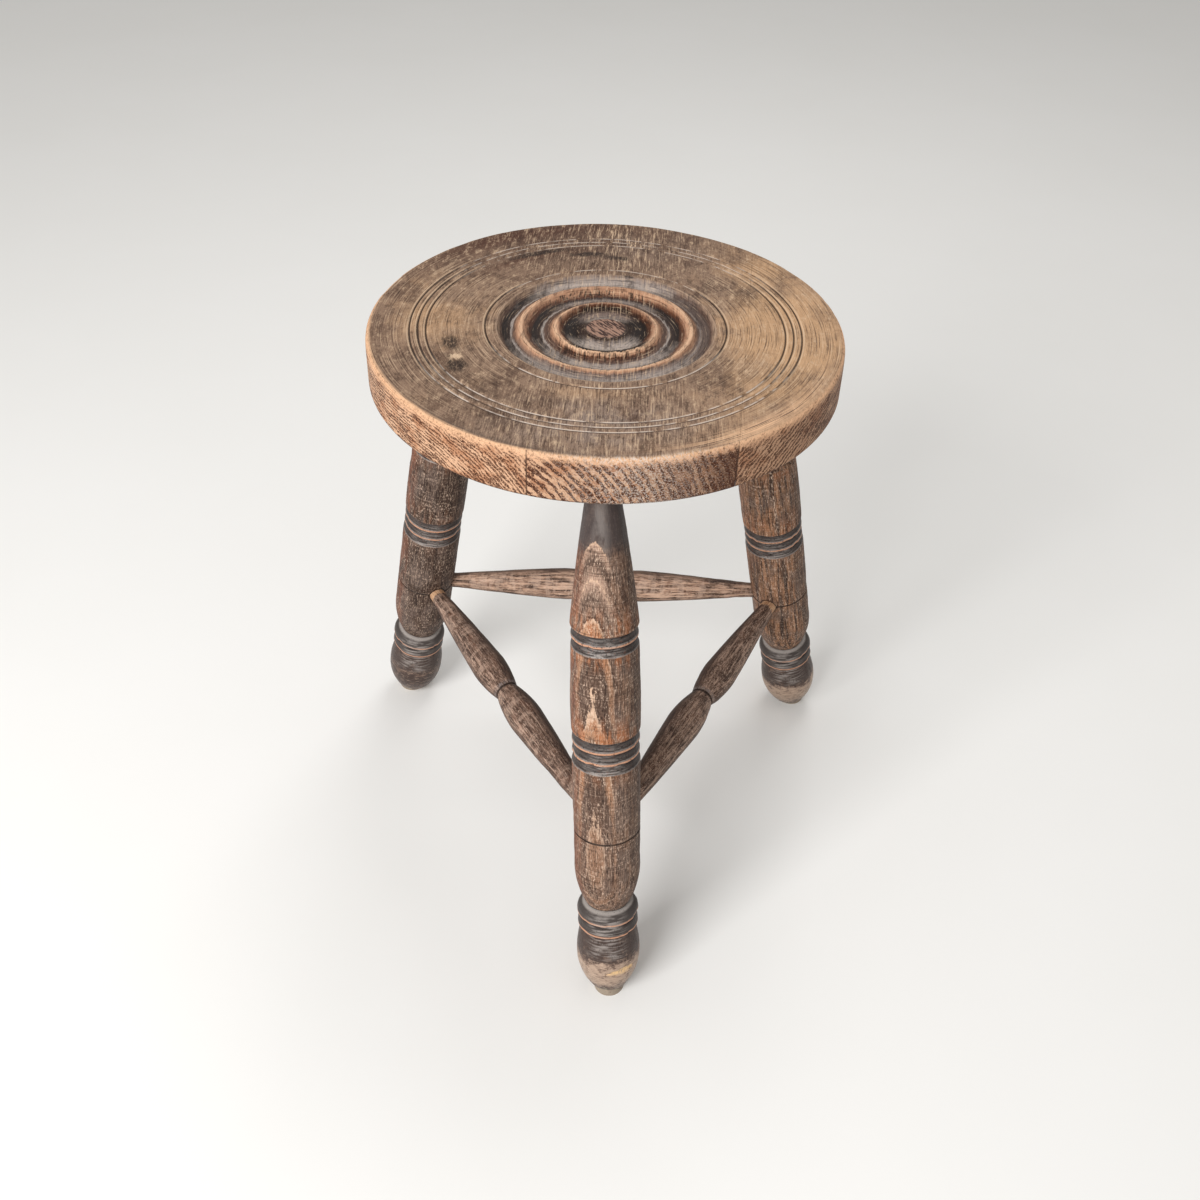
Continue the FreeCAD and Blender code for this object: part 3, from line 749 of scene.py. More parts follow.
class Finish:
    """One node material, built with short calls."""

    def __init__(self, name):
        self.material = bpy.data.materials.new(name)
        self.material.use_nodes = True
        self.tree = self.material.node_tree
        self.tree.nodes.clear()

    def node(self, kind, **settings):
        made = self.tree.nodes.new("ShaderNode" + kind)
        for name, value in settings.items():
            setattr(made, name, value)
        return made

    def plug(self, socket, value):
        if isinstance(value, bpy.types.NodeSocket):
            self.tree.links.new(value, socket)
        else:
            socket.default_value = value

    def sum(self, operation, *values):
        made = self.node("Math", operation=operation)
        for socket, value in zip(made.inputs, values):
            self.plug(socket, value)
        return made.outputs[0]

    def add(self, one, other):
        return self.sum("ADD", one, other)

    def times(self, one, other):
        return self.sum("MULTIPLY", one, other)

    def less(self, one, other):
        return self.sum("SUBTRACT", one, other)

    def most(self, one, other):
        return self.sum("MAXIMUM", one, other)

    def size(self, value):
        return self.sum("ABSOLUTE", value)

    def apart(self, one, other):
        return self.size(self.less(one, other))

    def swing(self, cloud, reach):
        """Noise around one half turned into a number around nought."""
        return self.times(self.less(cloud, 0.5), reach)

    def distance(self, one, other):
        """Length of the diagonal over two numbers."""
        return self.sum("SQRT", self.add(self.times(one, one), self.times(other, other)))

    def place(self, turn=0.0):
        """A piece's own coordinates in millimetres, turned about z by some degrees."""
        own = self.node("Attribute", attribute_type="GEOMETRY", attribute_name="own_place").outputs["Vector"]
        mapping = self.node("Mapping", vector_type="POINT")
        self.plug(mapping.inputs["Vector"], own)
        mapping.inputs["Rotation"].default_value = (0, 0, math.radians(turn))
        return mapping.outputs[0]

    def shift(self, place, offset):
        made = self.node("VectorMath", operation="ADD")
        self.plug(made.inputs[0], place)
        made.inputs[1].default_value = (offset,) * 3
        return made.outputs[0]

    def parts(self, place):
        made = self.node("SeparateXYZ")
        self.plug(made.inputs[0], place)
        return made.outputs

    def join(self, *numbers):
        made = self.node("CombineXYZ")
        for socket, number in zip(made.inputs, numbers):
            self.plug(socket, number)
        return made.outputs[0]

    def noise(self, place, patch, detail=3.0, roughness=0.6, distortion=0.0):
        """Cloudy noise around one half, its patches of a given size in millimetres."""
        scaled = self.node("VectorMath", operation="DIVIDE")
        self.plug(scaled.inputs[0], place)
        scaled.inputs[1].default_value = patch
        made = self.node("TexNoise", noise_dimensions="3D")
        self.plug(made.inputs["Vector"], scaled.outputs[0])
        made.inputs["Scale"].default_value = 1.0
        made.inputs["Detail"].default_value = detail
        made.inputs["Roughness"].default_value = roughness
        made.inputs["Distortion"].default_value = distortion
        return made.outputs["Fac"]

    def rise(self, value, low, high):
        """0 at low, 1 at high, smooth between; low may be the larger one."""
        made = self.node("MapRange", interpolation_type="SMOOTHSTEP", clamp=True)
        self.plug(made.inputs["Value"], value)
        made.inputs["From Min"].default_value = low
        made.inputs["From Max"].default_value = high
        return made.outputs[0]

    def within(self, value, low, full, end, gone):
        """Rises to 1 from low to full and falls back to 0 from end to gone."""
        return self.times(self.rise(value, low, full), self.rise(value, gone, end))

    def number(self, name):
        return self.node("Attribute", attribute_type="GEOMETRY", attribute_name=name).outputs["Fac"]

    def bands(self, value, span, stops):
        """Colours that change with a number: (number, colour) stops from 0 to the span."""
        made = self.node("ValToRGB")
        self.plug(made.inputs[0], self.times(value, 1 / span))
        points = made.color_ramp.elements
        while len(points) < len(stops):
            points.new(0.5)
        for point, (number, colour) in zip(points, stops):
            point.position = number / span
            point.color = colour
        return made.outputs["Color"]

    def mix(self, share, one, other):
        made = self.node("Mix", data_type="RGBA", clamp_factor=True)
        self.plug(made.inputs[0], share)
        self.plug(made.inputs[6], one)
        self.plug(made.inputs[7], other)
        return made.outputs[2]

    def paint(self, base, colour, *parts):
        """Lay a colour over a base by a product of parts; (value, low, high) stands for a rise."""
        shares = [self.rise(*part) if isinstance(part, tuple) else part for part in parts]
        product = shares[0]
        for share in shares[1:]:
            product = self.times(product, share)
        return self.mix(product, base, colour)

    def coats(self, base, *layers):
        """Lay colours over a base one after another, each layer being (colour, parts) as for paint."""
        for layer in layers:
            base = self.paint(base, *layer)
        return base

    def bump(self, height, distance):
        made = self.node("Bump")
        made.inputs["Strength"].default_value = 1.0
        made.inputs["Distance"].default_value = distance * MM
        self.plug(made.inputs["Height"], height)
        return made.outputs[0]

    def close(self, colour, roughness, normal):
        shader = self.node("BsdfPrincipled")
        self.plug(shader.inputs["Base Color"], colour)
        self.plug(shader.inputs["Roughness"], roughness)
        self.plug(shader.inputs["Normal"], normal)
        shader.inputs["Specular IOR Level"].default_value = WOOD_GLOSS
        output = self.node("OutputMaterial")
        self.tree.links.new(shader.outputs[0], output.inputs[0])
        return self.material


# Wood of the seat boards

SEAT_TAN = tone(198, 158, 120)
SEAT_GREY = tone(144, 117, 97)
SEAT_COOL = tone(142, 124, 113)
SEAT_BROWN = tone(98, 74, 60)
SEAT_DARK = tone(64, 45, 35)
SEAT_BLACK = tone(38, 27, 23)
SEAT_PALE = tone(222, 192, 160)
SEAT_RED = tone(78, 44, 31)
RIM_PALE = tone(206, 164, 132)
RIM_TAN = tone(172, 122, 90)
RIM_BROWN = tone(80, 47, 28)
RIM_BARE = tone(210, 163, 128)
RIM_STRIPE = tone(78, 38, 16)
RIM_DARK = tone(52, 24, 9)
ARRIS_WORN = tone(228, 184, 146)
SCRATCH_WHITE = tone(214, 200, 188)
EDGE_GREY = tone(70, 61, 58)
# Painted reflection on the coves, pale and grey
COVE_REFLECTION_PALE = tone(174, 160, 151)
COVE_REFLECTION_GREY = tone(144, 131, 124)
COVE_DIM = tone(112, 94, 86)
COVE_BROWN = tone(92, 70, 60)
COVE_DARK = tone(54, 39, 33)
COVE_BLACK = tone(27, 17, 13)
# Painted reflection: thin pale line in the coves at the sides
COVE_REFLECTION_LINE = tone(172, 160, 152)
CREST_PALE = tone(224, 182, 148)
CREST_TAN = tone(178, 134, 106)
CREST_DARK = tone(92, 54, 34)
FIELD_EDGE = tone(162, 135, 114)
BUTTON_PALE = tone(160, 125, 107)
BUTTON_DARK = tone(66, 45, 38)

# Colours of the turned middle by radius: at its left and right, in front and behind. The greys and pale
# lines of the coves are painted reflection on the glossy stain; the black just inside each crest in front is
# painted shadow.
SIDE_BANDS = (
    (0, COVE_DARK), (15, COVE_DARK), (20, COVE_BLACK), (26, COVE_BLACK), (28.5, CREST_DARK),
    (30.8, CREST_TAN), (32.6, CREST_PALE), (34.6, CREST_TAN), (37, COVE_BROWN), (39.4, COVE_BROWN),
    (40.6, COVE_REFLECTION_LINE), (41.8, COVE_DARK), (47, COVE_BLACK), (49.6, CREST_DARK), (52, CREST_TAN),
    (54.6, CREST_PALE), (56.8, CREST_TAN), (59.4, COVE_BROWN), (60.6, COVE_REFLECTION_LINE), (61.8, COVE_DARK),
    (65.5, COVE_BLACK), (67.6, COVE_BROWN), (69.6, FIELD_EDGE), (80, FIELD_EDGE),
)
FRONT_BANDS = (
    (0, COVE_DARK), (14, COVE_DARK), (16.5, COVE_REFLECTION_GREY), (20, COVE_REFLECTION_PALE), (25, COVE_REFLECTION_PALE), (28.5, COVE_DARK),
    (30.5, COVE_BLACK), (32, COVE_BLACK), (32.8, CREST_PALE), (34.8, CREST_TAN), (35.6, CREST_DARK),
    (39.5, COVE_BROWN), (41, COVE_REFLECTION_GREY), (45, COVE_REFLECTION_PALE), (49, COVE_REFLECTION_GREY), (51, COVE_DARK), (53, COVE_BLACK),
    (53.8, CREST_PALE), (56, CREST_TAN), (57, COVE_DIM), (60, COVE_REFLECTION_GREY), (64, COVE_REFLECTION_PALE),
    (67, COVE_REFLECTION_GREY), (69.5, FIELD_EDGE), (80, SEAT_GREY),
)
BACK_BANDS = (
    (0, COVE_DARK), (12, COVE_DARK), (13.4, COVE_REFLECTION_PALE), (15.5, COVE_REFLECTION_PALE), (17.5, COVE_REFLECTION_GREY), (24, COVE_DIM),
    (26.5, COVE_DARK), (28.5, COVE_BLACK), (30.4, CREST_DARK), (32, CREST_TAN), (34, CREST_TAN),
    (35.5, COVE_DARK), (39, COVE_DIM), (43, COVE_REFLECTION_GREY), (46, COVE_DARK), (48, CREST_DARK), (50.5, CREST_TAN),
    (55.5, CREST_TAN), (57.5, COVE_BROWN), (60, COVE_REFLECTION_GREY), (64, COVE_REFLECTION_PALE), (68, COVE_REFLECTION_GREY),
    (70.5, SEAT_GREY), (80, SEAT_GREY),
)
BAND_SPAN = 80.0
FIELD_FADE = (71.5, 69.5)
BUTTON_FADE = (13.0, 11.5)
BUTTON_GRAIN_TURN = -38.0
RING_REACH = 90.0
ARC_REACH = 30.0
BOARD_SHIFT = 50.0
GRIME_SHIFT = 300.0
LIP_OFFSET = 1.3
BARE_SHARE = 0.65


def growth_rings(wood, place, pith, width, breaks):
    """Dark late wood of growth rings about a line along the board, broken into dashes, 0 to 1."""
    across, along, up = wood.parts(place)
    sideways, upward = wood.less(across, pith[0]), wood.less(up, pith[1])
    from_pith = wood.distance(sideways, upward)
    round_pith = wood.times(wood.sum("ARCTAN2", sideways, upward), RING_REACH)
    dashes = wood.noise(wood.join(from_pith, round_pith, along), (1.3, 8, 14), 3.0, 0.65)
    slow_wander = wood.times(wood.noise(place, (40, 220, 40)), 6.0)
    quick_wander = wood.times(wood.noise(place, (8, 120, 8)), 5.0)
    rings = wood.times(wood.add(from_pith, wood.add(slow_wander, quick_wander)), 1 / width)
    middle = wood.apart(wood.sum("FRACT", rings), 0.5)
    patchy = wood.swing(wood.noise(place, (16, 60, 11), 4.0), 0.8)
    return wood.rise(wood.add(middle, wood.add(wood.swing(dashes, breaks), patchy)), 0.18, 0.27)


def seat_top(wood, place, late, side, arcs, flecks):
    """Worn tan and grey boards: grimy patches, fine arcs at the sides, short strokes in front and behind."""
    strokes = wood.noise(place, (0.85, 15, 0.85), 3.0, 0.7)
    mottle = wood.noise(place, (4.0, 8, 4.0), 4.0, 0.7)
    blotches = wood.noise(place, (24, 32, 24), 5.0, 0.65)
    dirt = wood.noise(wood.shift(place, GRIME_SHIFT), (20, 26, 20), 5.0, 0.7)
    grimy = wood.rise(dirt, 0.48, 0.62)
    golden = wood.rise(wood.add(wood.number("golden"), wood.swing(blotches, 1.2)), 0.05, 0.85)
    clean = wood.less(1.0, wood.times(golden, 0.75))
    scratches = wood.add(wood.times(side, arcs), wood.times(wood.less(1.0, side), strokes))
    marked = wood.add(wood.times(mottle, 1.2), wood.number("stains"))
    return wood.coats(
        wood.mix(golden, SEAT_GREY, SEAT_TAN),
        (SEAT_COOL, wood.number("cool"), (blotches, 0.4, 0.6)),
        (SEAT_BROWN, wood.number("behind"), (mottle, 0.8, 0.45), 0.95),
        (SEAT_BROWN, grimy, clean, 0.7),
        (SEAT_DARK, wood.number("shadows"), (mottle, 0.7, 0.45), 0.9),
        (SEAT_RED, wood.number("back_band"), (mottle, 0.8, 0.45), 0.9),
        (SEAT_DARK, (mottle, 0.47, 0.35), clean, 0.55),
        (SEAT_PALE, (mottle, 0.54, 0.7), 0.45),
        (SEAT_DARK, late, 0.08),
        (SEAT_DARK, (scratches, 0.48, 0.36), 0.7),
        (SEAT_PALE, (scratches, 0.54, 0.66), 0.48),
        (SEAT_BLACK, (flecks, 0.43, 0.3), grimy, 0.6),
        (SEAT_PALE, (flecks, 0.57, 0.7), 0.3),
        (SEAT_PALE, wood.number("back_scratches"), (strokes, 0.55, 0.62), 0.6),
        (SEAT_BLACK, (marked, 0.85, 1.4), (flecks, 0.85, 0.4), 0.92),
        (SEAT_PALE, (wood.add(flecks, wood.number("pale_knot")), 1.0, 1.4), 0.8),
    )


def turning_arcs(wood, x, radius, bearing):
    """Fine arcs left by the turner's tool, as cloudy noise drawn out round the seat."""
    half = wood.times(wood.rise(x, -1.0, 1.0), BOARD_SHIFT)
    return wood.noise(wood.join(radius, wood.times(bearing, ARC_REACH), half), (0.9, 11, 1), 3.0, 0.7)


def turned_field(wood, colour, place, radius, sideways, front, arcs):
    """Black coves at the sides, coves grey with painted reflection in front and behind, tan crests and a
    rough button in the middle of the seat.
    """
    ticks = wood.noise(place, (1.3, 9, 40), 3.0)
    grain = wood.noise(place, (0.8, 12, 40), 3.0, 0.7)
    uneven = wood.noise(place, (6, 14, 6), 3.0)
    strokes = wood.noise(wood.place(BUTTON_GRAIN_TURN), (1.6, 9, 2), 2.0)
    leaning = wood.less(wood.swing(uneven, 0.7), wood.times(wood.rise(front, 0.0, 0.4), 0.14))
    side = wood.rise(wood.add(sideways, leaning), 0.45, 0.92)
    spread = wood.add(radius, wood.add(wood.swing(ticks, 3.0), wood.swing(uneven, 2.0)))
    # Painted reflection greys the coves in front and behind; painted shadow darkens them just inside the
    # crests in front
    behind = wood.bands(spread, BAND_SPAN, BACK_BANDS)
    ahead = wood.bands(spread, BAND_SPAN, FRONT_BANDS)
    beside = wood.bands(spread, BAND_SPAN, SIDE_BANDS)
    crest_slopes = wood.most(
        wood.rise(wood.apart(radius, INNER_CREST + 4.5), 3.4, 2.4),
        wood.rise(wood.apart(radius, OUTER_CREST - 4.5), 2.6, 1.2),
    )
    torn = wood.times(wood.rise(sideways, 0.95, 0.6), wood.rise(ticks, 0.5, 0.58))
    right = wood.rise(wood.parts(place)[0], 5.0, 35.0)
    button = wood.mix(wood.rise(strokes, 0.45, 0.56), BUTTON_PALE, BUTTON_DARK)
    bands = wood.coats(
        wood.mix(side, wood.mix(wood.rise(front, -0.1, 0.1), behind, ahead), beside),
        (COVE_BLACK, torn, crest_slopes, 0.85),
        (COVE_DIM, right, side, wood.within(radius, 57.0, 60.0, 65.0, 67.5), 0.6),
        (COVE_DARK, (uneven, 0.46, 0.32), 0.5),
        (SEAT_PALE, (grain, 0.54, 0.66), wood.less(1.0, side), 0.45),
        (COVE_BLACK, (grain, 0.46, 0.35), 0.4),
        (COVE_BLACK, (arcs, 0.47, 0.35), 0.6),
        (SEAT_PALE, (arcs, 0.56, 0.68), 0.35),
        (button, (spread, *BUTTON_FADE)),
    )
    return wood.paint(colour, bands, (spread, *FIELD_FADE))


def scribed_lines(wood, colour, radius, sideways, front, worn):
    """Scribed rings: dark at the sides with a painted highlight on the lip beside them, pale with dark edges
    in front, nearly lost behind.
    """
    groove = lip = 0.0
    for scribe in SCRIBED_RADII:
        groove = wood.most(groove, wood.rise(wood.apart(radius, scribe), 0.75, 0.3))
        lip = wood.most(lip, wood.rise(wood.apart(radius, scribe + LIP_OFFSET), 0.7, 0.2))
    side = wood.rise(sideways, 0.66, 0.9)
    ahead = wood.rise(front, 0.3, 0.7)
    return wood.coats(
        colour,
        (SEAT_BLACK, groove, side, 0.85),
        # Painted highlight on the lip beside each groove at the sides
        (SEAT_PALE, lip, side, 0.5),
        (SCRATCH_WHITE, groove, ahead, (worn, 0.36, 0.52), 0.75),
        (SEAT_DARK, lip, ahead, 0.7),
        (SCRATCH_WHITE, groove, (front, -0.4, -0.8), (worn, 0.4, 0.55), 0.6),
    )


def seat_rim(wood, place, late, stripes):
    """Sawn and turned edge of a board: bare near the top, dark strokes of late wood below."""
    blotches = wood.noise(place, (12, 30, 10), 4.0)
    specks = wood.noise(place, (0.9, 6, 0.9), 3.0, 0.7)
    up = wood.parts(place)[2]
    stained = wood.number("dark_patch")
    uneven = wood.add(up, wood.add(wood.swing(blotches, 22.0), wood.swing(specks, 9.0)))
    bare = wood.times(wood.rise(uneven, SEAT_TOP - 7.0, SEAT_TOP - 2.5), wood.rise(stained, 0.9, 0.5))
    covered = wood.less(1.0, wood.times(bare, BARE_SHARE))
    return wood.coats(
        wood.mix(wood.rise(blotches, 0.36, 0.56), RIM_TAN, RIM_PALE),
        (RIM_BARE, bare, BARE_SHARE),
        (RIM_BROWN, stained, 0.95),
        (RIM_PALE, (specks, 0.55, 0.67), 0.55),
        (RIM_DARK, (specks, 0.45, 0.34), 0.6),
        (RIM_STRIPE, late, covered, (specks, 0.66, 0.54), stripes),
        (RIM_DARK, late, covered, (specks, 0.55, 0.45), 0.7),
        (RIM_DARK, wood.number("joint"), 0.85),
        (RIM_DARK, (up, UNDERSIDE + 2.4, UNDERSIDE + 0.6), 0.7),
    )


def seat_underside(wood, place, late, flecks):
    """Plain planed boards, darkened by age."""
    strokes = wood.noise(place, (1.2, 26, 1.2), 3.0, 0.65)
    grime = wood.noise(place, (30, 60, 30), 5.0)
    return wood.coats(
        wood.mix(wood.rise(strokes, 0.38, 0.62), SEAT_BROWN, SEAT_GREY),
        (RIM_BROWN, (grime, 0.45, 0.62), 0.6),
        (SEAT_DARK, late, 0.35),
        (SEAT_DARK, (flecks, 0.45, 0.33), 0.6),
    )


def seat_wood(name, grain_turn, pith, ring_width, breaks, stripes):
    """Weathered board of the seat, its grain turned by some degrees from front to back."""
    wood = Finish(name)
    place = wood.place(grain_turn)
    x, y, up = wood.parts(wood.place())
    radius = wood.distance(x, y)
    sideways = wood.sum("DIVIDE", wood.size(x), wood.add(radius, 0.1))
    front = wood.sum("DIVIDE", wood.times(y, -1.0), wood.add(radius, 0.1))
    bearing = wood.size(wood.sum("ARCTAN2", x, y))
    late = growth_rings(wood, place, pith, ring_width, breaks)
    fibres = wood.noise(place, (0.9, 16, 0.9), 4.0, 0.7)
    flecks = wood.noise(place, (1.1, 3.2, 1.1), 3.0, 0.65)
    arcs = turning_arcs(wood, x, radius, bearing)
    colour = seat_top(wood, place, late, wood.rise(sideways, 0.35, 0.85), arcs, flecks)
    colour = scribed_lines(wood, colour, radius, sideways, front, wood.noise(place, (14, 9, 9)))
    colour = wood.coats(
        turned_field(wood, colour, place, radius, sideways, front, arcs),
        (ARRIS_WORN, wood.number("bare_edge"), (arcs, 0.4, 0.54), 0.95),
        (EDGE_GREY, wood.number("grey_edge"), (flecks, 0.36, 0.5), 0.8),
        (SEAT_DARK, wood.number("bare_edge"), (arcs, 0.46, 0.37), 0.75),
        (seat_underside(wood, place, late, flecks), (up, UNDERSIDE + 6.0, UNDERSIDE + 3.0)),
        (seat_rim(wood, place, late, stripes), wood.number("rim")),
        (ARRIS_WORN, wood.number("arris"), (flecks, 0.38, 0.52), 0.85),
        (SCRATCH_WHITE, wood.number("scratched"), (fibres, 0.45, 0.6), 0.9),
    )
    in_field = wood.rise(radius, 72.0, 66.0)
    roughness = wood.less(wood.add(wood.times(fibres, 0.25), 0.44), wood.times(in_field, 0.12))
    relief = wood.add(wood.times(fibres, 0.7), wood.times(flecks, 0.4))
    return wood.close(colour, roughness, wood.bump(relief, 0.35))


# Wood of the legs

FLAME_TAN = tone(172, 128, 98)
FLAME_GREY = tone(176, 144, 124)
FLAME_LINE = tone(206, 172, 146)
LEG_TAN = tone(146, 114, 94)
LEG_BROWN = tone(86, 64, 53)
LEG_SHADE = tone(84, 65, 55)
LEG_WARM = tone(164, 120, 90)
LEG_DIM = tone(50, 37, 31)
LEG_GREY = tone(112, 95, 86)
LEG_DARK = tone(66, 49, 41)
LEG_BLACK = tone(34, 25, 22)
LEG_RED = tone(118, 68, 46)
LEG_ORANGE = tone(166, 104, 66)
LEG_PALE = tone(214, 186, 164)
NECK_GREY = tone(66, 58, 57)
# Pale of the painted highlights on the turned parts
PAINTED_HIGHLIGHT = tone(172, 163, 157)
# Thin painted highlight line at the foot of each ring slope
SLOPE_HIGHLIGHT_LINE = tone(122, 114, 109)
SLOPE_GREY = tone(76, 69, 66)
SLOPE_DARK = tone(54, 47, 45)
EDGE_TAN = tone(196, 144, 114)
PAD_PALE = tone(152, 138, 122)
BULB_PALE = tone(172, 148, 130)
BULB_BROWN = tone(112, 92, 81)
BULB_DARK = tone(74, 61, 56)
CHIP_FRESH = tone(226, 190, 142)
# Painted highlight line at the waist of a foot
WAIST_HIGHLIGHT = tone(170, 162, 156)

# Where the flames of the front leg begin and how they follow each other
FLAME_MIDDLE = 133.0
FLAME_FLAT = 20.0
FLAME_LEAN = 0.0475
FLAME_START = 20.95
FLAME_WIDTH = 4.3
FLAME_DIP = 243.0
NECK_FLAME = 4
FLAME_BANDS = (
    (0.0, FLAME_LINE), (0.05, FLAME_LINE), (0.1, FLAME_TAN), (0.3, FLAME_TAN),
    (0.5, LEG_SHADE), (1.0, LEG_BROWN),
)
FAINT_BANDS = (
    (0.0, FLAME_LINE), (0.04, FLAME_LINE), (0.09, FLAME_GREY), (0.5, LEG_SHADE), (1.0, FLAME_GREY),
)
FAINT_FADE = (-2.3, -2.05)

# Colours of one ring groove, by share of its pitch: the line at each end is a painted highlight, the black
# of the steep wall painted shade
RING_BANDS = (
    (0.0, SLOPE_HIGHLIGHT_LINE), (0.06, SLOPE_HIGHLIGHT_LINE), (0.14, SLOPE_DARK), (0.4, SLOPE_GREY), (0.6, SLOPE_DARK),
    (0.68, LEG_BLACK), (0.8, LEG_BLACK), (0.85, EDGE_TAN), (0.96, EDGE_TAN), (1.0, SLOPE_HIGHLIGHT_LINE),
)

# Heights on a leg where a look starts and where it is full
FOOT_FADE = (WAIST_HEIGHT + 2.5, WAIST_HEIGHT + 0.5)
COLLAR_FADE = (SECOND_EDGE - 3.4, SECOND_EDGE - 2.2)
BULB_SHINE = (38, 46)
FOOT_GLOSS = (78, 74)
FLAMES_FULL = (120, 190)
DOTS_FULL = (222, 236)
NECK_SPECKS = (340, 362)
NECK_FADE = (344, 362)
NECK_FULL = (368, 372)
FOOT_TOP = 90.0
LEG_REACH = 20.0
CLUSTER_SHIFT = 200.0


def flame_rings(wood, place, drift, apex):
    """Distance through the growth rings, counted from the lowest flame's edge inwards."""
    x, y, height = wood.parts(place)
    turn = math.radians(apex)
    toward = wood.add(wood.times(x, math.sin(turn)), wood.times(y, -math.cos(turn)))
    lean = wood.times(wood.distance(wood.less(height, FLAME_MIDDLE), FLAME_FLAT), FLAME_LEAN)
    dip = wood.times(wood.rise(wood.apart(height, FLAME_DIP), 22.0, 5.0), 0.9)
    ragged = wood.swing(wood.noise(drift, (1.4, 1.4, 7), 3.0), 1.1)
    wander = wood.swing(wood.noise(drift, (30, 30, 70)), 0.8)
    depth = wood.add(wood.less(wood.less(toward, lean), dip), wood.add(ragged, wander))
    return wood.times(wood.less(depth, FLAME_START), 1 / FLAME_WIDTH)


def round_leg(wood, height, bearing):
    """Coordinates for noise that is drawn out round a leg."""
    return wood.join(height, wood.times(bearing, LEG_REACH), 0.0)


def front_highlight(wood, height, bearing):
    """Painted highlight: pale arcs on the front of the turned details, 0 to 1."""
    arcs = wood.noise(round_leg(wood, height, bearing), (1.2, 11, 1), 2.0, 0.5)
    ahead = wood.rise(wood.size(wood.add(bearing, 0.05)), 0.95, 0.1)
    return wood.times(wood.rise(arcs, 0.4, 0.64), ahead)


def ring_grooves(wood, height, streak, shine, group, lowest):
    """Colours of a group of ring grooves, grey slope with painted highlights, black wall of painted shade
    and tan crest, and where the group is.
    """
    start, pitch, count = group
    turns = wood.times(wood.less(height, start), 1 / pitch)
    end = count - 1 + RING_SLOPE_SHARE + RING_WALL_SHARE
    inside = wood.within(turns, lowest - 0.06, lowest + 0.02, end - 0.02, end + 0.04)
    colour = wood.coats(
        wood.bands(wood.sum("FRACT", turns), 1.0, RING_BANDS),
        # Painted highlight on the slopes, stronger on the lowest grooves
        (PAINTED_HIGHLIGHT, shine, (turns, 1.6, 0.0), 0.6),
        (PAINTED_HIGHLIGHT, shine, 0.3),
        (LEG_RED, (streak, 0.58, 0.7), 0.4),
        (LEG_BLACK, (streak, 0.46, 0.34), 0.7),
    )
    return colour, inside


def foot_bulb(wood, drift, height, bearing, flecks, shine, low_tone):
    """Pale pad and scuffed bulb of a foot, with a painted highlight on the upper bulb."""
    patches = wood.noise(drift, (6, 6, 5), 3.0, 0.65)
    torn = wood.noise(round_leg(wood, height, bearing), (0.9, 6, 1), 3.0, 0.65)
    scuffed = wood.add(height, wood.add(wood.swing(flecks, 6.0), wood.swing(patches, 26.0)))
    upper = wood.rise(height, *BULB_SHINE)
    low = wood.less(1.0, upper)
    bulb = wood.bands(scuffed, FOOT_TOP, (
        (0, PAD_PALE), (PAD_HEIGHT + 1, PAD_PALE), (PAD_HEIGHT + 3, LEG_DARK), (9, LEG_DARK),
        (11, BULB_BROWN), (16, low_tone), (34, low_tone), (38.5, BULB_BROWN), (40, BULB_DARK),
        (SECOND_EDGE - 4, BULB_DARK),
    ))
    return wood.coats(
        bulb,
        (PAD_PALE, (height, PAD_HEIGHT + 0.8, PAD_HEIGHT)),
        (LEG_DARK, (torn, 0.47, 0.36), low, (height, 4, 7), 0.8),
        (LEG_PALE, (torn, 0.55, 0.68), low, 0.45),
        (BULB_BROWN, (patches, 0.55, 0.66), 0.6),
        # Painted highlight on the upper bulb
        (PAINTED_HIGHLIGHT, shine, upper, 0.6),
        (LEG_BLACK, (flecks, 0.44, 0.32), upper, 0.8),
    )


def tan_edge(height):
    """Colour stops of a worn tan edge over its undercut, which is painted black as shade."""
    return (height - 1.7, LEG_BLACK), (height - 0.9, EDGE_TAN), (height + 0.1, EDGE_TAN)


def foot_collar(wood, height, flecks, shine):
    """The collar's two tan edges, its grey slopes with painted highlights and the painted highlight line at
    the waist.
    """
    collar = wood.bands(height, FOOT_TOP, (
        (0, LEG_BLACK), *tan_edge(SECOND_EDGE), (SECOND_EDGE + 0.9, SLOPE_DARK),
        (SECOND_EDGE + 4.5, SLOPE_GREY), (COLLAR_HEIGHT - 3.2, SLOPE_DARK), *tan_edge(COLLAR_HEIGHT),
        (COLLAR_HEIGHT + 0.9, SLOPE_GREY), (WAIST_HEIGHT - 1.5, SLOPE_GREY),
        (WAIST_HEIGHT - 0.8, WAIST_HIGHLIGHT), (WAIST_HEIGHT - 0.2, WAIST_HIGHLIGHT), (WAIST_HEIGHT + 0.5, LEG_BLACK),
    ))
    # Painted highlight on the collar's slopes
    return wood.coats(collar, (PAINTED_HIGHLIGHT, shine, 0.6), (LEG_BLACK, (flecks, 0.43, 0.3), 0.6))


def leg_ground(wood, drift, pale, dark):
    """Brown stained wood, streaked along the leg."""
    streaks = wood.noise(drift, (2.0, 2.0, 42), 3.0, 0.65)
    blotches = wood.noise(drift, (13, 13, 24), 4.0)
    return wood.coats(
        wood.mix(wood.rise(streaks, 0.37, 0.63), dark, pale),
        (LEG_GREY, (blotches, 0.46, 0.62), 0.6),
        (LEG_DARK, (blotches, 0.45, 0.32), 0.55),
    )


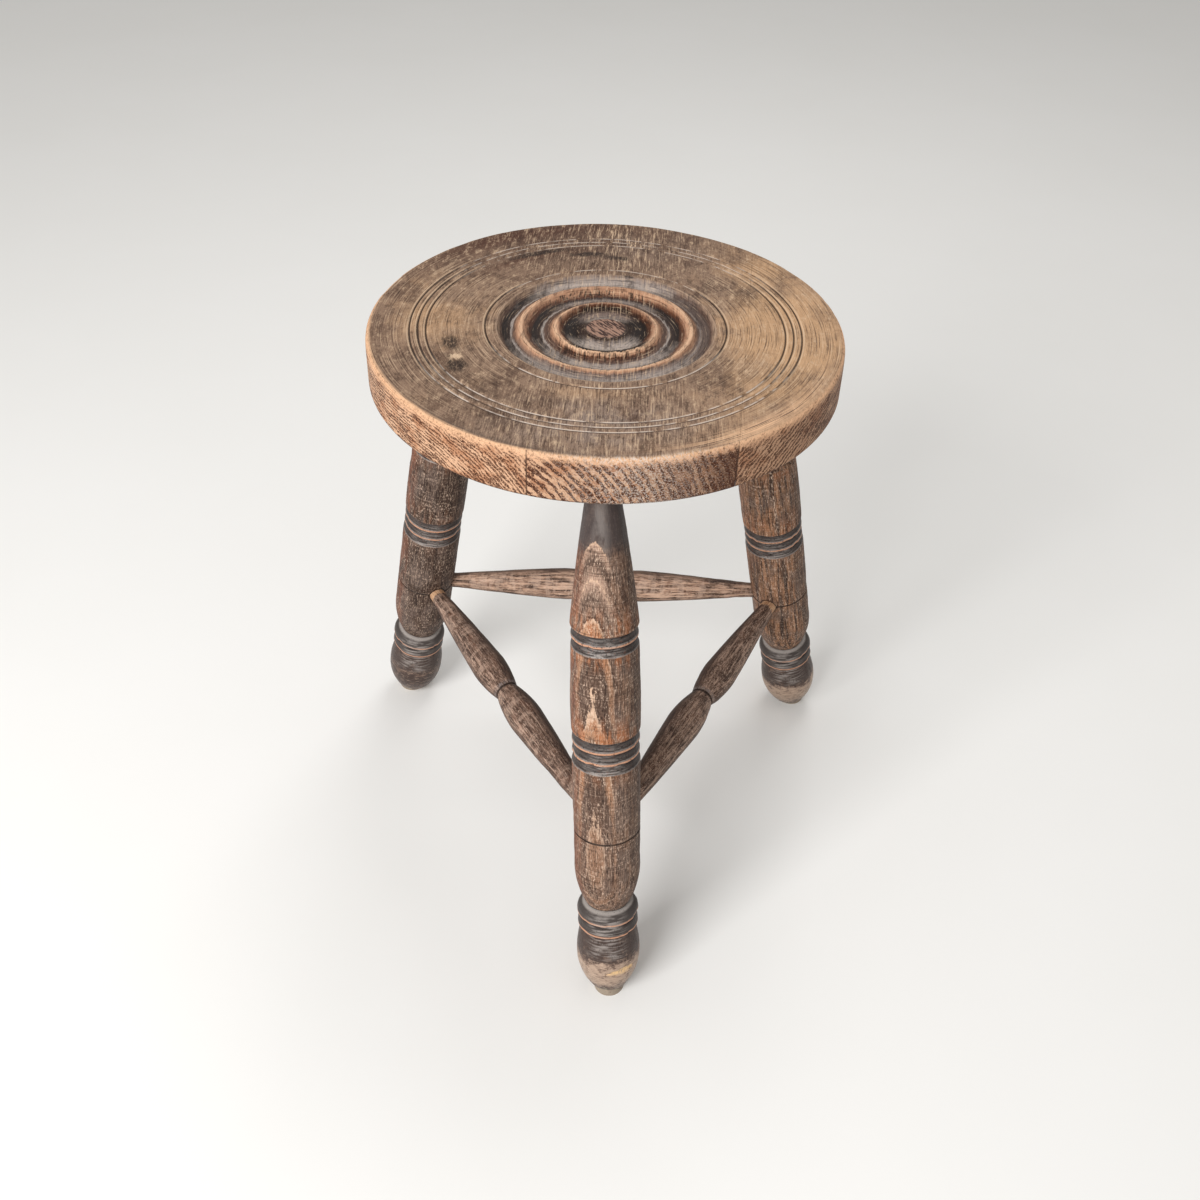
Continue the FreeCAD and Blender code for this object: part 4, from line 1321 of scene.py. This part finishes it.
def leg_flames(wood, colour, rings, height, bearing, apex, flame):
    """Growth rings as flames on the side of the apex: bold ones low down, faint ones above."""
    ring_share = wood.sum("FRACT", rings)
    flamed = wood.mix(
        wood.rise(rings, *FAINT_FADE),
        wood.bands(ring_share, 1.0, FAINT_BANDS),
        wood.bands(ring_share, 1.0, FLAME_BANDS),
    )
    beside = wood.apart(bearing, math.radians(apex))
    fading = wood.add(wood.times(wood.rise(height, *FLAMES_FULL), 0.65), 0.35)
    return wood.paint(colour, flamed, (beside, 0.75, 0.35), fading, flame)


def leg_glow(wood, colour, height, reddish, glow_share):
    """Stain worn to orange next to the ring grooves, less so under the lower group."""
    for (start, pitch, count), under_share in ((LOWER_RINGS, 0.3), (UPPER_RINGS, 1.0)):
        above = start + pitch * (count - 0.2)
        under = wood.within(height, start - 14, start - 2, start, start + 1)
        over = wood.within(height, above - 1, above, above + 2, above + 24)
        glow = wood.most(wood.times(under, under_share), over)
        colour = wood.paint(colour, LEG_ORANGE, glow, (reddish, 0.42, 0.6), glow_share)
    return colour


def leg_neck(wood, rings, height):
    """Where the dark polished neck is, 0 to 1: above the last flame and all over the top."""
    under_flame = wood.rise(rings, -NECK_FLAME - 0.02, -NECK_FLAME + 0.03)
    return wood.most(
        wood.times(wood.rise(height, *NECK_FADE), wood.less(1.0, under_flame)),
        wood.rise(height, *NECK_FULL),
    )


def leg_wood(
    name, offset, apex, flame, pale, dark, red_edge, neck_share, glow_share, dotted, hidden_slope, low_tone
):
    """Dark stained turned wood whose growth rings make flames down one side."""
    wood = Finish(name)
    place = wood.place()
    x, y, height = wood.parts(place)
    drift = wood.shift(place, offset)
    bearing = wood.sum("ARCTAN2", x, wood.times(y, -1.0))
    fibres = wood.noise(drift, (0.8, 0.8, 15), 3.0, 0.7)
    flecks = wood.noise(drift, (0.8, 0.8, 2.6), 3.0, 0.7)
    cluster = wood.noise(wood.shift(drift, CLUSTER_SHIFT), (7, 7, 18), 4.0)
    turning = wood.noise(drift, (26, 26, 0.8), 3.0)
    reddish = wood.noise(drift, (5, 5, 20), 3.0)
    streak = wood.noise(drift, (1.6, 1.6, 1.0), 2.0)
    rings = flame_rings(wood, place, drift, apex)
    neck = leg_neck(wood, rings, height)
    # Painted highlight down the front of the neck, just left of the middle
    neck_highlight = wood.rise(wood.size(wood.add(bearing, 0.12)), 0.6, 0.0)
    dots = wood.times(wood.rise(wood.apart(bearing, 0.12), 0.06, 0.02), wood.rise(flecks, 0.5, 0.62))
    # Painted highlight on the front of the turned details
    shine = front_highlight(wood, height, bearing)
    foot = wood.mix(
        wood.rise(height, *COLLAR_FADE),
        foot_bulb(wood, drift, height, bearing, flecks, shine, low_tone),
        foot_collar(wood, height, flecks, shine),
    )
    lower_colour, lower_group = ring_grooves(wood, height, streak, shine, LOWER_RINGS, 0.0)
    upper_colour, upper_group = ring_grooves(wood, height, streak, shine, UPPER_RINGS, hidden_slope)
    colour = leg_ground(wood, drift, pale, dark)
    colour = leg_flames(wood, colour, rings, height, bearing, apex, flame)
    colour = wood.paint(colour, LEG_RED, (bearing, -0.6, -1.15), (reddish, 0.36, 0.56), red_edge)
    colour = leg_glow(wood, colour, height, reddish, glow_share)
    colour = wood.coats(
        colour,
        # Painted shade: each leg darkens towards its right side
        (LEG_DARK, (bearing, 0.45, 1.1), 0.55),
        (LEG_BLACK, (fibres, 0.47, 0.33), 0.7),
        (LEG_PALE, (fibres, 0.56, 0.7), 0.4),
        (LEG_BLACK, (flecks, 0.47, 0.35), (cluster, 0.34, 0.58), 0.8),
        (LEG_PALE, (flecks, 0.54, 0.66), (cluster, 0.64, 0.42), 0.75),
        (LEG_DARK, (turning, 0.54, 0.68), 0.6),
        (LEG_PALE, (turning, 0.45, 0.33), (flecks, 0.44, 0.58), 0.4),
        (LEG_PALE, dots, (height, *DOTS_FULL), dotted),
        (NECK_GREY, neck, neck_share),
        # Painted highlight on the neck
        (PAINTED_HIGHLIGHT, neck, neck_highlight, (cluster, 0.3, 0.6), neck_share * 0.35),
        (LEG_PALE, (height, *NECK_SPECKS), (flecks, 0.72, 0.78), 0.9),
        (foot, (height, *FOOT_FADE)),
        (lower_colour, lower_group),
        (upper_colour, upper_group),
        (LEG_BLACK, (wood.apart(height, LEG_SCRIBE), 1.1, 0.4), 0.8),
        (LEG_BLACK, wood.number("socket"), 0.9),
        (CHIP_FRESH, wood.number("chip"), (fibres, 0.34, 0.5)),
    )
    turned = wood.most(wood.add(lower_group, upper_group), wood.rise(height, *FOOT_GLOSS))
    glossy = wood.most(turned, neck)
    roughness = wood.less(wood.add(wood.times(fibres, 0.3), 0.42), wood.times(glossy, 0.22))
    relief = wood.add(wood.times(fibres, 0.6), wood.add(wood.times(flecks, 0.4), wood.times(turning, 0.3)))
    return wood.close(colour, roughness, wood.bump(relief, 0.3))


# Wood of the stretchers

STRETCHER_BROWN = tone(126, 99, 84)
STRETCHER_TAN = tone(200, 162, 137)
STRETCHER_DARK = tone(68, 51, 44)
STRETCHER_BLACK = tone(36, 27, 24)
STRETCHER_PALE = tone(206, 176, 156)
STRETCHER_RED = tone(108, 70, 52)
BARE_WOOD = tone(216, 176, 140)
BARE_ORANGE = tone(172, 124, 90)
WAIST_GREY = tone(132, 124, 122)


def stretcher_wood(name, offset, ground, curly, banded, rubbed_side, crescent_side):
    """Mottled brown turned wood, rubbed pale on the side that faces out, dark above and below."""
    wood = Finish(name)
    place = wood.place()
    up, side, along = wood.parts(place)
    drift = wood.shift(place, offset)
    turn = wood.less(wood.sum("ARCTAN2", side, up), math.radians(rubbed_side))
    rubbed = wood.rise(wood.size(turn), 1.35, 0.6)
    fibres = wood.noise(drift, (0.8, 0.8, 14), 3.0, 0.7)
    flecks = wood.noise(drift, (0.8, 0.8, 2.6), 3.0, 0.7)
    streaks = wood.noise(drift, (1.9, 1.9, 34), 3.0, 0.65)
    mottle = wood.noise(drift, (7, 7, 12), 4.0)
    cross = wood.noise(drift, (16, 16, 5.0), 2.0)
    curls = wood.noise(drift, (2.2, 2.2, 3.2), 1.0, 0.5, 1.8)
    crescent = wood.within(wood.times(along, crescent_side), 0.6, 1.4, 2.4, 4.6)
    ragged = wood.add(wood.number("bare_end"), wood.swing(streaks, 1.2))
    raw = wood.mix(wood.rise(fibres, 0.38, 0.56), BARE_ORANGE, BARE_WOOD)
    colour = wood.coats(
        wood.mix(wood.rise(streaks, 0.36, 0.62), STRETCHER_DARK, ground),
        (STRETCHER_DARK, (mottle, 0.47, 0.34), 0.6),
        (STRETCHER_RED, (mottle, 0.54, 0.66), 0.4),
        (STRETCHER_PALE, (cross, 0.5, 0.62), rubbed, banded),
        (STRETCHER_PALE, (streaks, 0.53, 0.66), rubbed, 0.5),
        (STRETCHER_DARK, wood.less(1.0, rubbed), 0.75),
        (STRETCHER_BLACK, (fibres, 0.46, 0.33), 0.6),
        (STRETCHER_PALE, (fibres, 0.55, 0.68), rubbed, 0.5),
        (STRETCHER_BLACK, (flecks, 0.44, 0.33), 0.45),
        (STRETCHER_PALE, (flecks, 0.55, 0.66), rubbed, 0.55),
        (STRETCHER_PALE, (wood.apart(curls, 0.5), 0.035, 0.012), (mottle, 0.42, 0.55), rubbed, curly),
        (WAIST_GREY, crescent, (fibres, 0.4, 0.55), 0.6),
        (STRETCHER_BLACK, (wood.size(along), 1.6, 0.6), 0.85),
        (raw, (ragged, 0.5, 0.7), 0.9),
    )
    roughness = wood.add(wood.times(fibres, 0.3), 0.4)
    relief = wood.add(wood.times(fibres, 0.6), wood.times(flecks, 0.5))
    return wood.close(colour, roughness, wood.bump(relief, 0.3))


# Build the pieces

# Softening of the corners, longest step and turn between rows, all for the turned outlines
SEAT_MESHING = (0.35, 2.6, 0.16)
LEG_MESHING = (0.3, 2.2, 0.2)
STRETCHER_MESHING = (0.3, 2.0, 0.2)

# Which joints bound each board, and whether the board lies to the right of the joint
BOARD_CUTS = {
    "left": [("left", False)],
    "middle": [("left", True), ("right", False)],
    "right": [("right", True)],
}
BOARD_LOOKS = {
    "left": dict(grain_turn=5.0, pith=(-114.0, 330.0), ring_width=2.3, breaks=1.6, stripes=0.75),
    "middle": dict(grain_turn=2.0, pith=(-70.0, 352.0), ring_width=4.6, breaks=1.45, stripes=0.97),
    "right": dict(grain_turn=2.0, pith=(190.0, 330.0), ring_width=2.6, breaks=1.7, stripes=0.75),
}
LEG_LOOKS = {
    "front": dict(
        offset=0.0, apex=-20.0, flame=0.92, pale=LEG_TAN, dark=LEG_BROWN, red_edge=0.8, neck_share=0.92,
        glow_share=0.8, dotted=0.0, hidden_slope=0.0, low_tone=BULB_PALE,
    ),
    "rear_left": dict(
        offset=37.0, apex=130.0, flame=0.0, pale=LEG_SHADE, dark=LEG_DIM, red_edge=0.9, neck_share=0.6,
        glow_share=0.2, dotted=0.0, hidden_slope=0.0, low_tone=BULB_DARK,
    ),
    "rear_right": dict(
        offset=71.0, apex=80.0, flame=0.0, pale=LEG_WARM, dark=LEG_DARK, red_edge=0.3, neck_share=0.0,
        glow_share=0.5, dotted=0.9, hidden_slope=0.9, low_tone=BULB_PALE,
    ),
}
LEG_SEEDS = {"front": 51, "rear_left": 62, "rear_right": 73}
STRETCHER_LOOKS = {
    "left": dict(
        offset=13.0, ground=STRETCHER_BROWN, curly=0.15, banded=0.3, rubbed_side=36.0, crescent_side=-1.0
    ),
    "right": dict(
        offset=29.0, ground=STRETCHER_BROWN, curly=0.8, banded=0.1, rubbed_side=36.0, crescent_side=1.0
    ),
    "rear": dict(
        offset=47.0, ground=STRETCHER_TAN, curly=0.1, banded=0.4, rubbed_side=-60.0, crescent_side=1.0
    ),
}
STRETCHER_SEEDS = {"left": 81, "right": 82, "rear": 83}
BARE_DIRECTIONS = {"left": -1, "right": 1, "rear": 0}

# How far the cutters of the sockets stand out of the wood
SEAT_CUTTER_LEAD = 30
LEG_CUTTER_LEAD = 10


def turned_form(corners, meshing, columns):
    """Points and faces of a turned form with softened corners, closed on its axis."""
    reach, coarse, turn_share = meshing
    rows = pick_rows(soften(trace(corners), reach), coarse, turn_share)
    rows[0, 0] = rows[-1, 0] = 0
    return lathe(rows, columns)


def leg_length(leg):
    return float(np.linalg.norm(socket_place(leg) - foot_place(leg)))


def build_seat():
    points, faces = turned_form(seat_corners(), SEAT_MESHING, SEAT_COLUMNS)
    points = wear_seat(points)
    stand = Matrix.Translation(Vector((*SEAT_CENTRE, 0)) * MM)
    woods = {board: seat_wood(f"seat_wood_{board}", **look) for board, look in BOARD_LOOKS.items()}
    for board, cuts in BOARD_CUTS.items():
        piece = make_object(f"board_{board}", points, [face[::-1] for face in faces], stand)
        for side, keep_right in cuts:
            part_board(piece, side, keep_right)
        for leg in LEG_AZIMUTHS:
            mouth = leg_length(leg) - SEAT_CUTTER_LEAD
            bottom = leg_length(leg) + LEG_TENON_DEPTH + TENON_END_GAP
            bore(piece, leg_axes(leg), LEG_TENON_RADIUS + FIT_CLEARANCE, mouth, bottom)
        mark_seat(piece.data)
        finish_piece(piece, woods[board], f"seat_board_{board}")


def bore_sockets(piece, leg):
    """Take the stretchers' sockets out of a leg."""
    for stretcher in stretchers_at(leg):
        away = -1 if leg == STRETCHER_ENDS[stretcher][0] else 1
        half_span = stretcher_span(stretcher) / 2
        bottom = half_span - STRETCHER_TENON_STOP + TENON_END_GAP
        mouth = half_span - BARREL_RADIUS - LEG_CUTTER_LEAD
        low, high = sorted((away * bottom, away * mouth))
        bore(piece, stretcher_axes(stretcher), STRETCHER_TENON_RADIUS + FIT_CLEARANCE, low, high)


def build_leg(leg, material, seed):
    points, faces = turned_form(leg_corners(leg_length(leg)), LEG_MESHING, LEG_COLUMNS)
    points = wear_leg(points, seed)
    if leg == "front":
        points = chip_foot(points)
    axes = leg_axes(leg)
    piece = make_object(f"turned_leg_{leg}", points, faces, axes)
    down = axes.to_3x3().inverted() @ Vector((0, 0, -1))
    cut(piece, (0, 0, 0), down, True)
    bore_sockets(piece, leg)
    mark_leg(piece.data, leg)
    finish_piece(piece, material, f"leg_{leg}")


def build_stretcher(stretcher, material, seed, bare_direction):
    half_span = stretcher_span(stretcher) / 2
    points, faces = turned_form(stretcher_corners(half_span), STRETCHER_MESHING, STRETCHER_COLUMNS)
    points = wear_stretcher(points, seed)
    piece = make_object(f"turned_stretcher_{stretcher}", points, faces, stretcher_axes(stretcher))
    mark_stretcher(piece.data, half_span, bare_direction)
    finish_piece(piece, material, f"stretcher_{stretcher}")


# Floor, light and camera, in metres and watts

FLOOR_REACH = 6.0
FLOOR_TONE = tone(243, 242, 239)
FLOOR_PALE = tone(247, 246, 244)
WORLD_TINT = (1.0, 0.985, 0.96, 1)
WORLD_STRENGTH = 0.46
SOFTBOXES = {
    "key": dict(place=(-1.15, -1.6, 1.4), target=(0, 0, 0.25), size=(1.2, 1.2), watts=48),
    "top": dict(place=(0.3, 0.9, 1.8), target=(0, 0, 0.4), size=(0.7, 1.2), watts=8),
}

# Camera fitted to the photograph, lengths in millimetres and angles in degrees
CAMERA_AZIMUTH = -0.52
CAMERA_ELEVATION = 40.08
CAMERA_DISTANCE = 1009.55
CAMERA_TARGET = (-4.82, 31.91, 193.24)
CAMERA_ROLL = 1.88
FOCAL_PIXELS = 1350.0
PHOTO_PIXELS = 1200
SENSOR = 36.0


def make_floor():
    reach = FLOOR_REACH
    corners = [(-reach, -reach, 0), (reach, -reach, 0), (reach, reach, 0), (-reach, reach, 0)]
    mesh = bpy.data.meshes.new("floor")
    mesh.from_pydata(corners, [], [(0, 1, 2, 3)])
    floor = bpy.data.objects.new("floor", mesh)
    bpy.context.scene.collection.objects.link(floor)
    paint = Finish("floor_paint")
    grain = paint.noise(paint.node("TexCoord").outputs["Object"], (0.25, 0.25, 0.25))
    colour = paint.mix(grain, FLOOR_TONE, FLOOR_PALE)
    mesh.materials.append(paint.close(colour, 0.9, paint.bump(grain, 0.05)))


def add_softbox(name, place, target, size, watts):
    lamp = bpy.data.lights.new(name, "AREA")
    lamp.shape = "RECTANGLE"
    lamp.size, lamp.size_y = size
    lamp.energy = watts
    holder = bpy.data.objects.new(name, lamp)
    holder.location = place
    holder.rotation_euler = (Vector(target) - Vector(place)).to_track_quat("-Z", "Y").to_euler()
    bpy.context.scene.collection.objects.link(holder)


def light_studio():
    world = bpy.data.worlds.new("studio")
    world.use_nodes = True
    backdrop = world.node_tree.nodes["Background"]
    backdrop.inputs["Color"].default_value = WORLD_TINT
    backdrop.inputs["Strength"].default_value = WORLD_STRENGTH
    bpy.context.scene.world = world
    for name, setting in SOFTBOXES.items():
        add_softbox(name, **setting)


def place_camera():
    data = bpy.data.cameras.new("photo_camera")
    data.sensor_width = SENSOR
    data.lens = SENSOR * FOCAL_PIXELS / PHOTO_PIXELS
    camera = bpy.data.objects.new("photo_camera", data)
    azimuth, elevation = math.radians(CAMERA_AZIMUTH), math.radians(CAMERA_ELEVATION)
    backward = Vector((
        math.sin(azimuth) * math.cos(elevation),
        -math.cos(azimuth) * math.cos(elevation),
        math.sin(elevation),
    ))
    place = Vector(CAMERA_TARGET) + backward * CAMERA_DISTANCE
    right = Vector((0, 0, 1)).cross(backward).normalized()
    up = backward.cross(right)
    turn = math.radians(CAMERA_ROLL)
    rolled_right = right * math.cos(turn) + up * math.sin(turn)
    rolled_up = up * math.cos(turn) - right * math.sin(turn)
    looking = Matrix((rolled_right, rolled_up, backward)).transposed().to_4x4()
    camera.matrix_world = Matrix.Translation(place * MM) @ looking
    bpy.context.scene.collection.objects.link(camera)
    bpy.context.scene.camera = camera


build_seat()
for leg, look in LEG_LOOKS.items():
    build_leg(leg, leg_wood(f"leg_wood_{leg}", **look), LEG_SEEDS[leg])
for stretcher, look in STRETCHER_LOOKS.items():
    material = stretcher_wood(f"stretcher_wood_{stretcher}", **look)
    build_stretcher(stretcher, material, STRETCHER_SEEDS[stretcher], BARE_DIRECTIONS[stretcher])
make_floor()
light_studio()
place_camera()
bpy.context.scene.view_settings.view_transform = "Standard"
